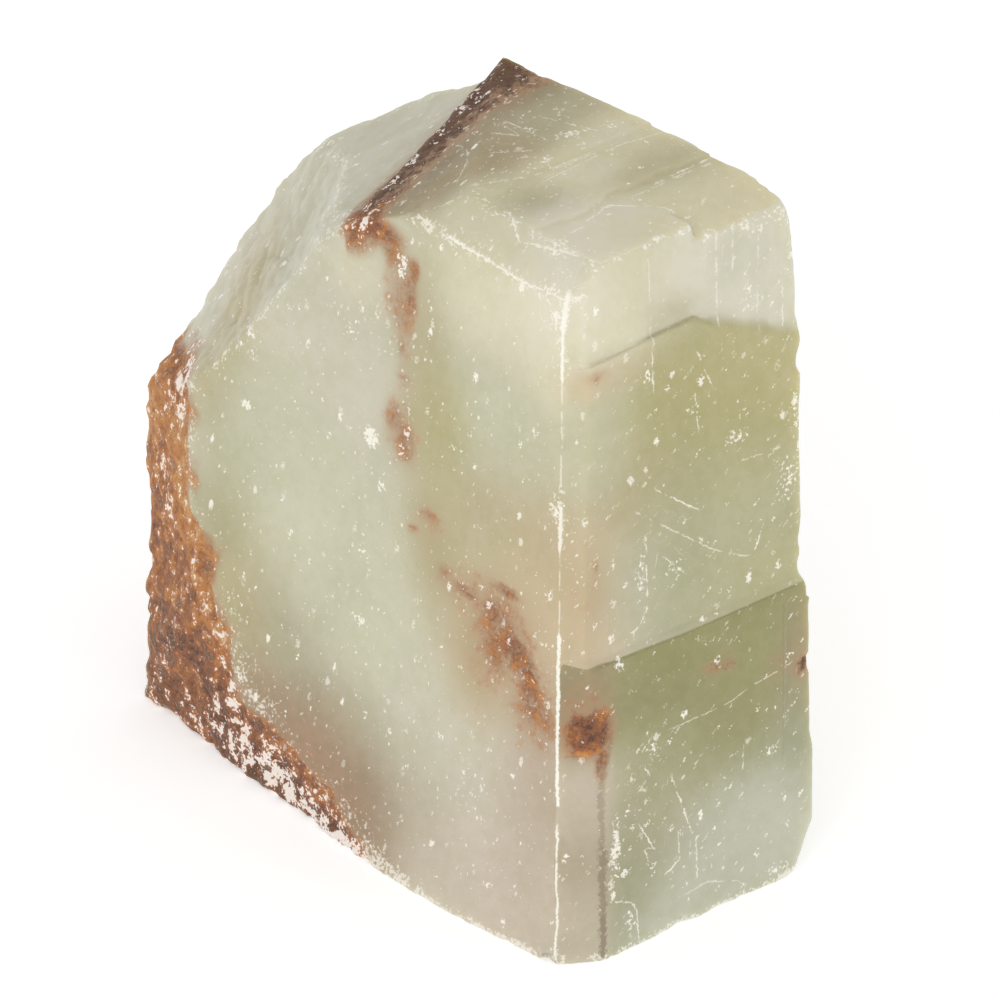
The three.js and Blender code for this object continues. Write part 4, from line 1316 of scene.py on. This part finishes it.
class CALCITE_OT_block(bpy.types.Operator):
    """Build the calcite block over its CAD solid"""

    bl_idname = "calcite.block"
    bl_label = "Calcite Block"

    def execute(self, context):
        look = context.scene.calcite_look
        points, quads, relief = block_surface()
        piece = mesh_object("calcite_block", points, quads)
        if len(piece.data.polygons) != len(quads):
            raise RuntimeError("the block's surface has broken faces")
        write_fields(piece, surface_fields(points, relief, look))
        build_fleck_group()
        build_hairline_group()
        build_iron_group(look)
        piece.data.materials.append(stone_material(look))
        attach(piece, BODY)
        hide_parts(NODE)
        return {"FINISHED"}


def soft_light(name, power, spot, size):
    """Square soft light aimed at the middle of the block and unseen by the camera."""
    lamp = bpy.data.lights.new(name, "AREA")
    lamp.energy = power
    lamp.size = size
    light = bpy.data.objects.new(name, lamp)
    light.location = spot
    aim = (CAD_LOW + CAD_HIGH) / 2 - light.location
    light.rotation_mode = "QUATERNION"
    light.rotation_quaternion = aim.to_track_quat("-Z", "Y")
    light.visible_camera = False
    bpy.context.scene.collection.objects.link(light)


class CALCITE_OT_stage(bpy.types.Operator):
    """Build the floor, the room light, the soft lights and the camera"""

    bl_idname = "calcite.stage"
    bl_label = "Stage"

    def execute(self, context):
        scene = context.scene
        stage = scene.calcite_stage
        half = stage.floor_radius / MM
        corners = np.array([[-half, -half, 0], [half, -half, 0], [half, half, 0], [-half, half, 0]])
        floor = mesh_object("floor", corners, np.array([[0, 1, 2, 3]]))
        paint = bpy.data.materials.new("Pale Floor")
        paint.use_nodes = True
        shader = paint.node_tree.nodes["Principled BSDF"]
        shader.inputs["Base Color"].default_value = rgba(stage.floor_colour)
        shader.inputs["Roughness"].default_value = FLOOR_ROUGHNESS
        shader.inputs["Specular IOR Level"].default_value = 0.0
        shader.inputs["Emission Color"].default_value = WHITE
        shader.inputs["Emission Strength"].default_value = stage.floor_glow
        floor.data.materials.append(paint)

        world = bpy.data.worlds.new("Room")
        world.use_nodes = True
        background = world.node_tree.nodes["Background"].inputs
        background["Color"].default_value = WHITE
        background["Strength"].default_value = stage.sky
        scene.world = world
        for name, power, spot, size in LIGHTS:
            soft_light(name, getattr(stage, power), spot, size)

        lens = bpy.data.cameras.new("camera")
        lens.lens = stage.lens
        lens.sensor_width = SENSOR_WIDTH
        camera = bpy.data.objects.new("camera", lens)
        camera.location = CAMERA_PLACE
        camera.rotation_euler = (math.pi / 2 - stage.elevation, 0, 0)
        scene.collection.objects.link(camera)
        scene.camera = camera
        scene.view_settings.view_transform = "Standard"
        return {"FINISHED"}


class CALCITE_PT_panel(bpy.types.Panel):
    """Settings and steps of the calcite block"""

    bl_idname = "CALCITE_PT_panel"
    bl_label = "Calcite"
    bl_space_type = "VIEW_3D"
    bl_region_type = "UI"
    bl_category = "Calcite"

    def draw(self, context):
        scene = context.scene
        for settings, operator in (
            (scene.calcite_look, "calcite.block"),
            (scene.calcite_stage, "calcite.stage"),
        ):
            box = self.layout.box()
            for name in settings.__annotations__:
                box.prop(settings, name)
            box.operator(operator)


CLASSES = (CalciteLook, CalciteStage, CALCITE_OT_block, CALCITE_OT_stage, CALCITE_PT_panel)


def register():
    for item in CLASSES:
        bpy.utils.register_class(item)
    bpy.types.Scene.calcite_look = bpy.props.PointerProperty(type=CalciteLook)
    bpy.types.Scene.calcite_stage = bpy.props.PointerProperty(type=CalciteStage)


def unregister():
    del bpy.types.Scene.calcite_stage
    del bpy.types.Scene.calcite_look
    for item in reversed(CLASSES):
        bpy.utils.unregister_class(item)


def main():
    """Builds the block and its stage."""
    register()
    bpy.ops.calcite.block()
    bpy.ops.calcite.stage()


if __name__ == "__main__":
    main()
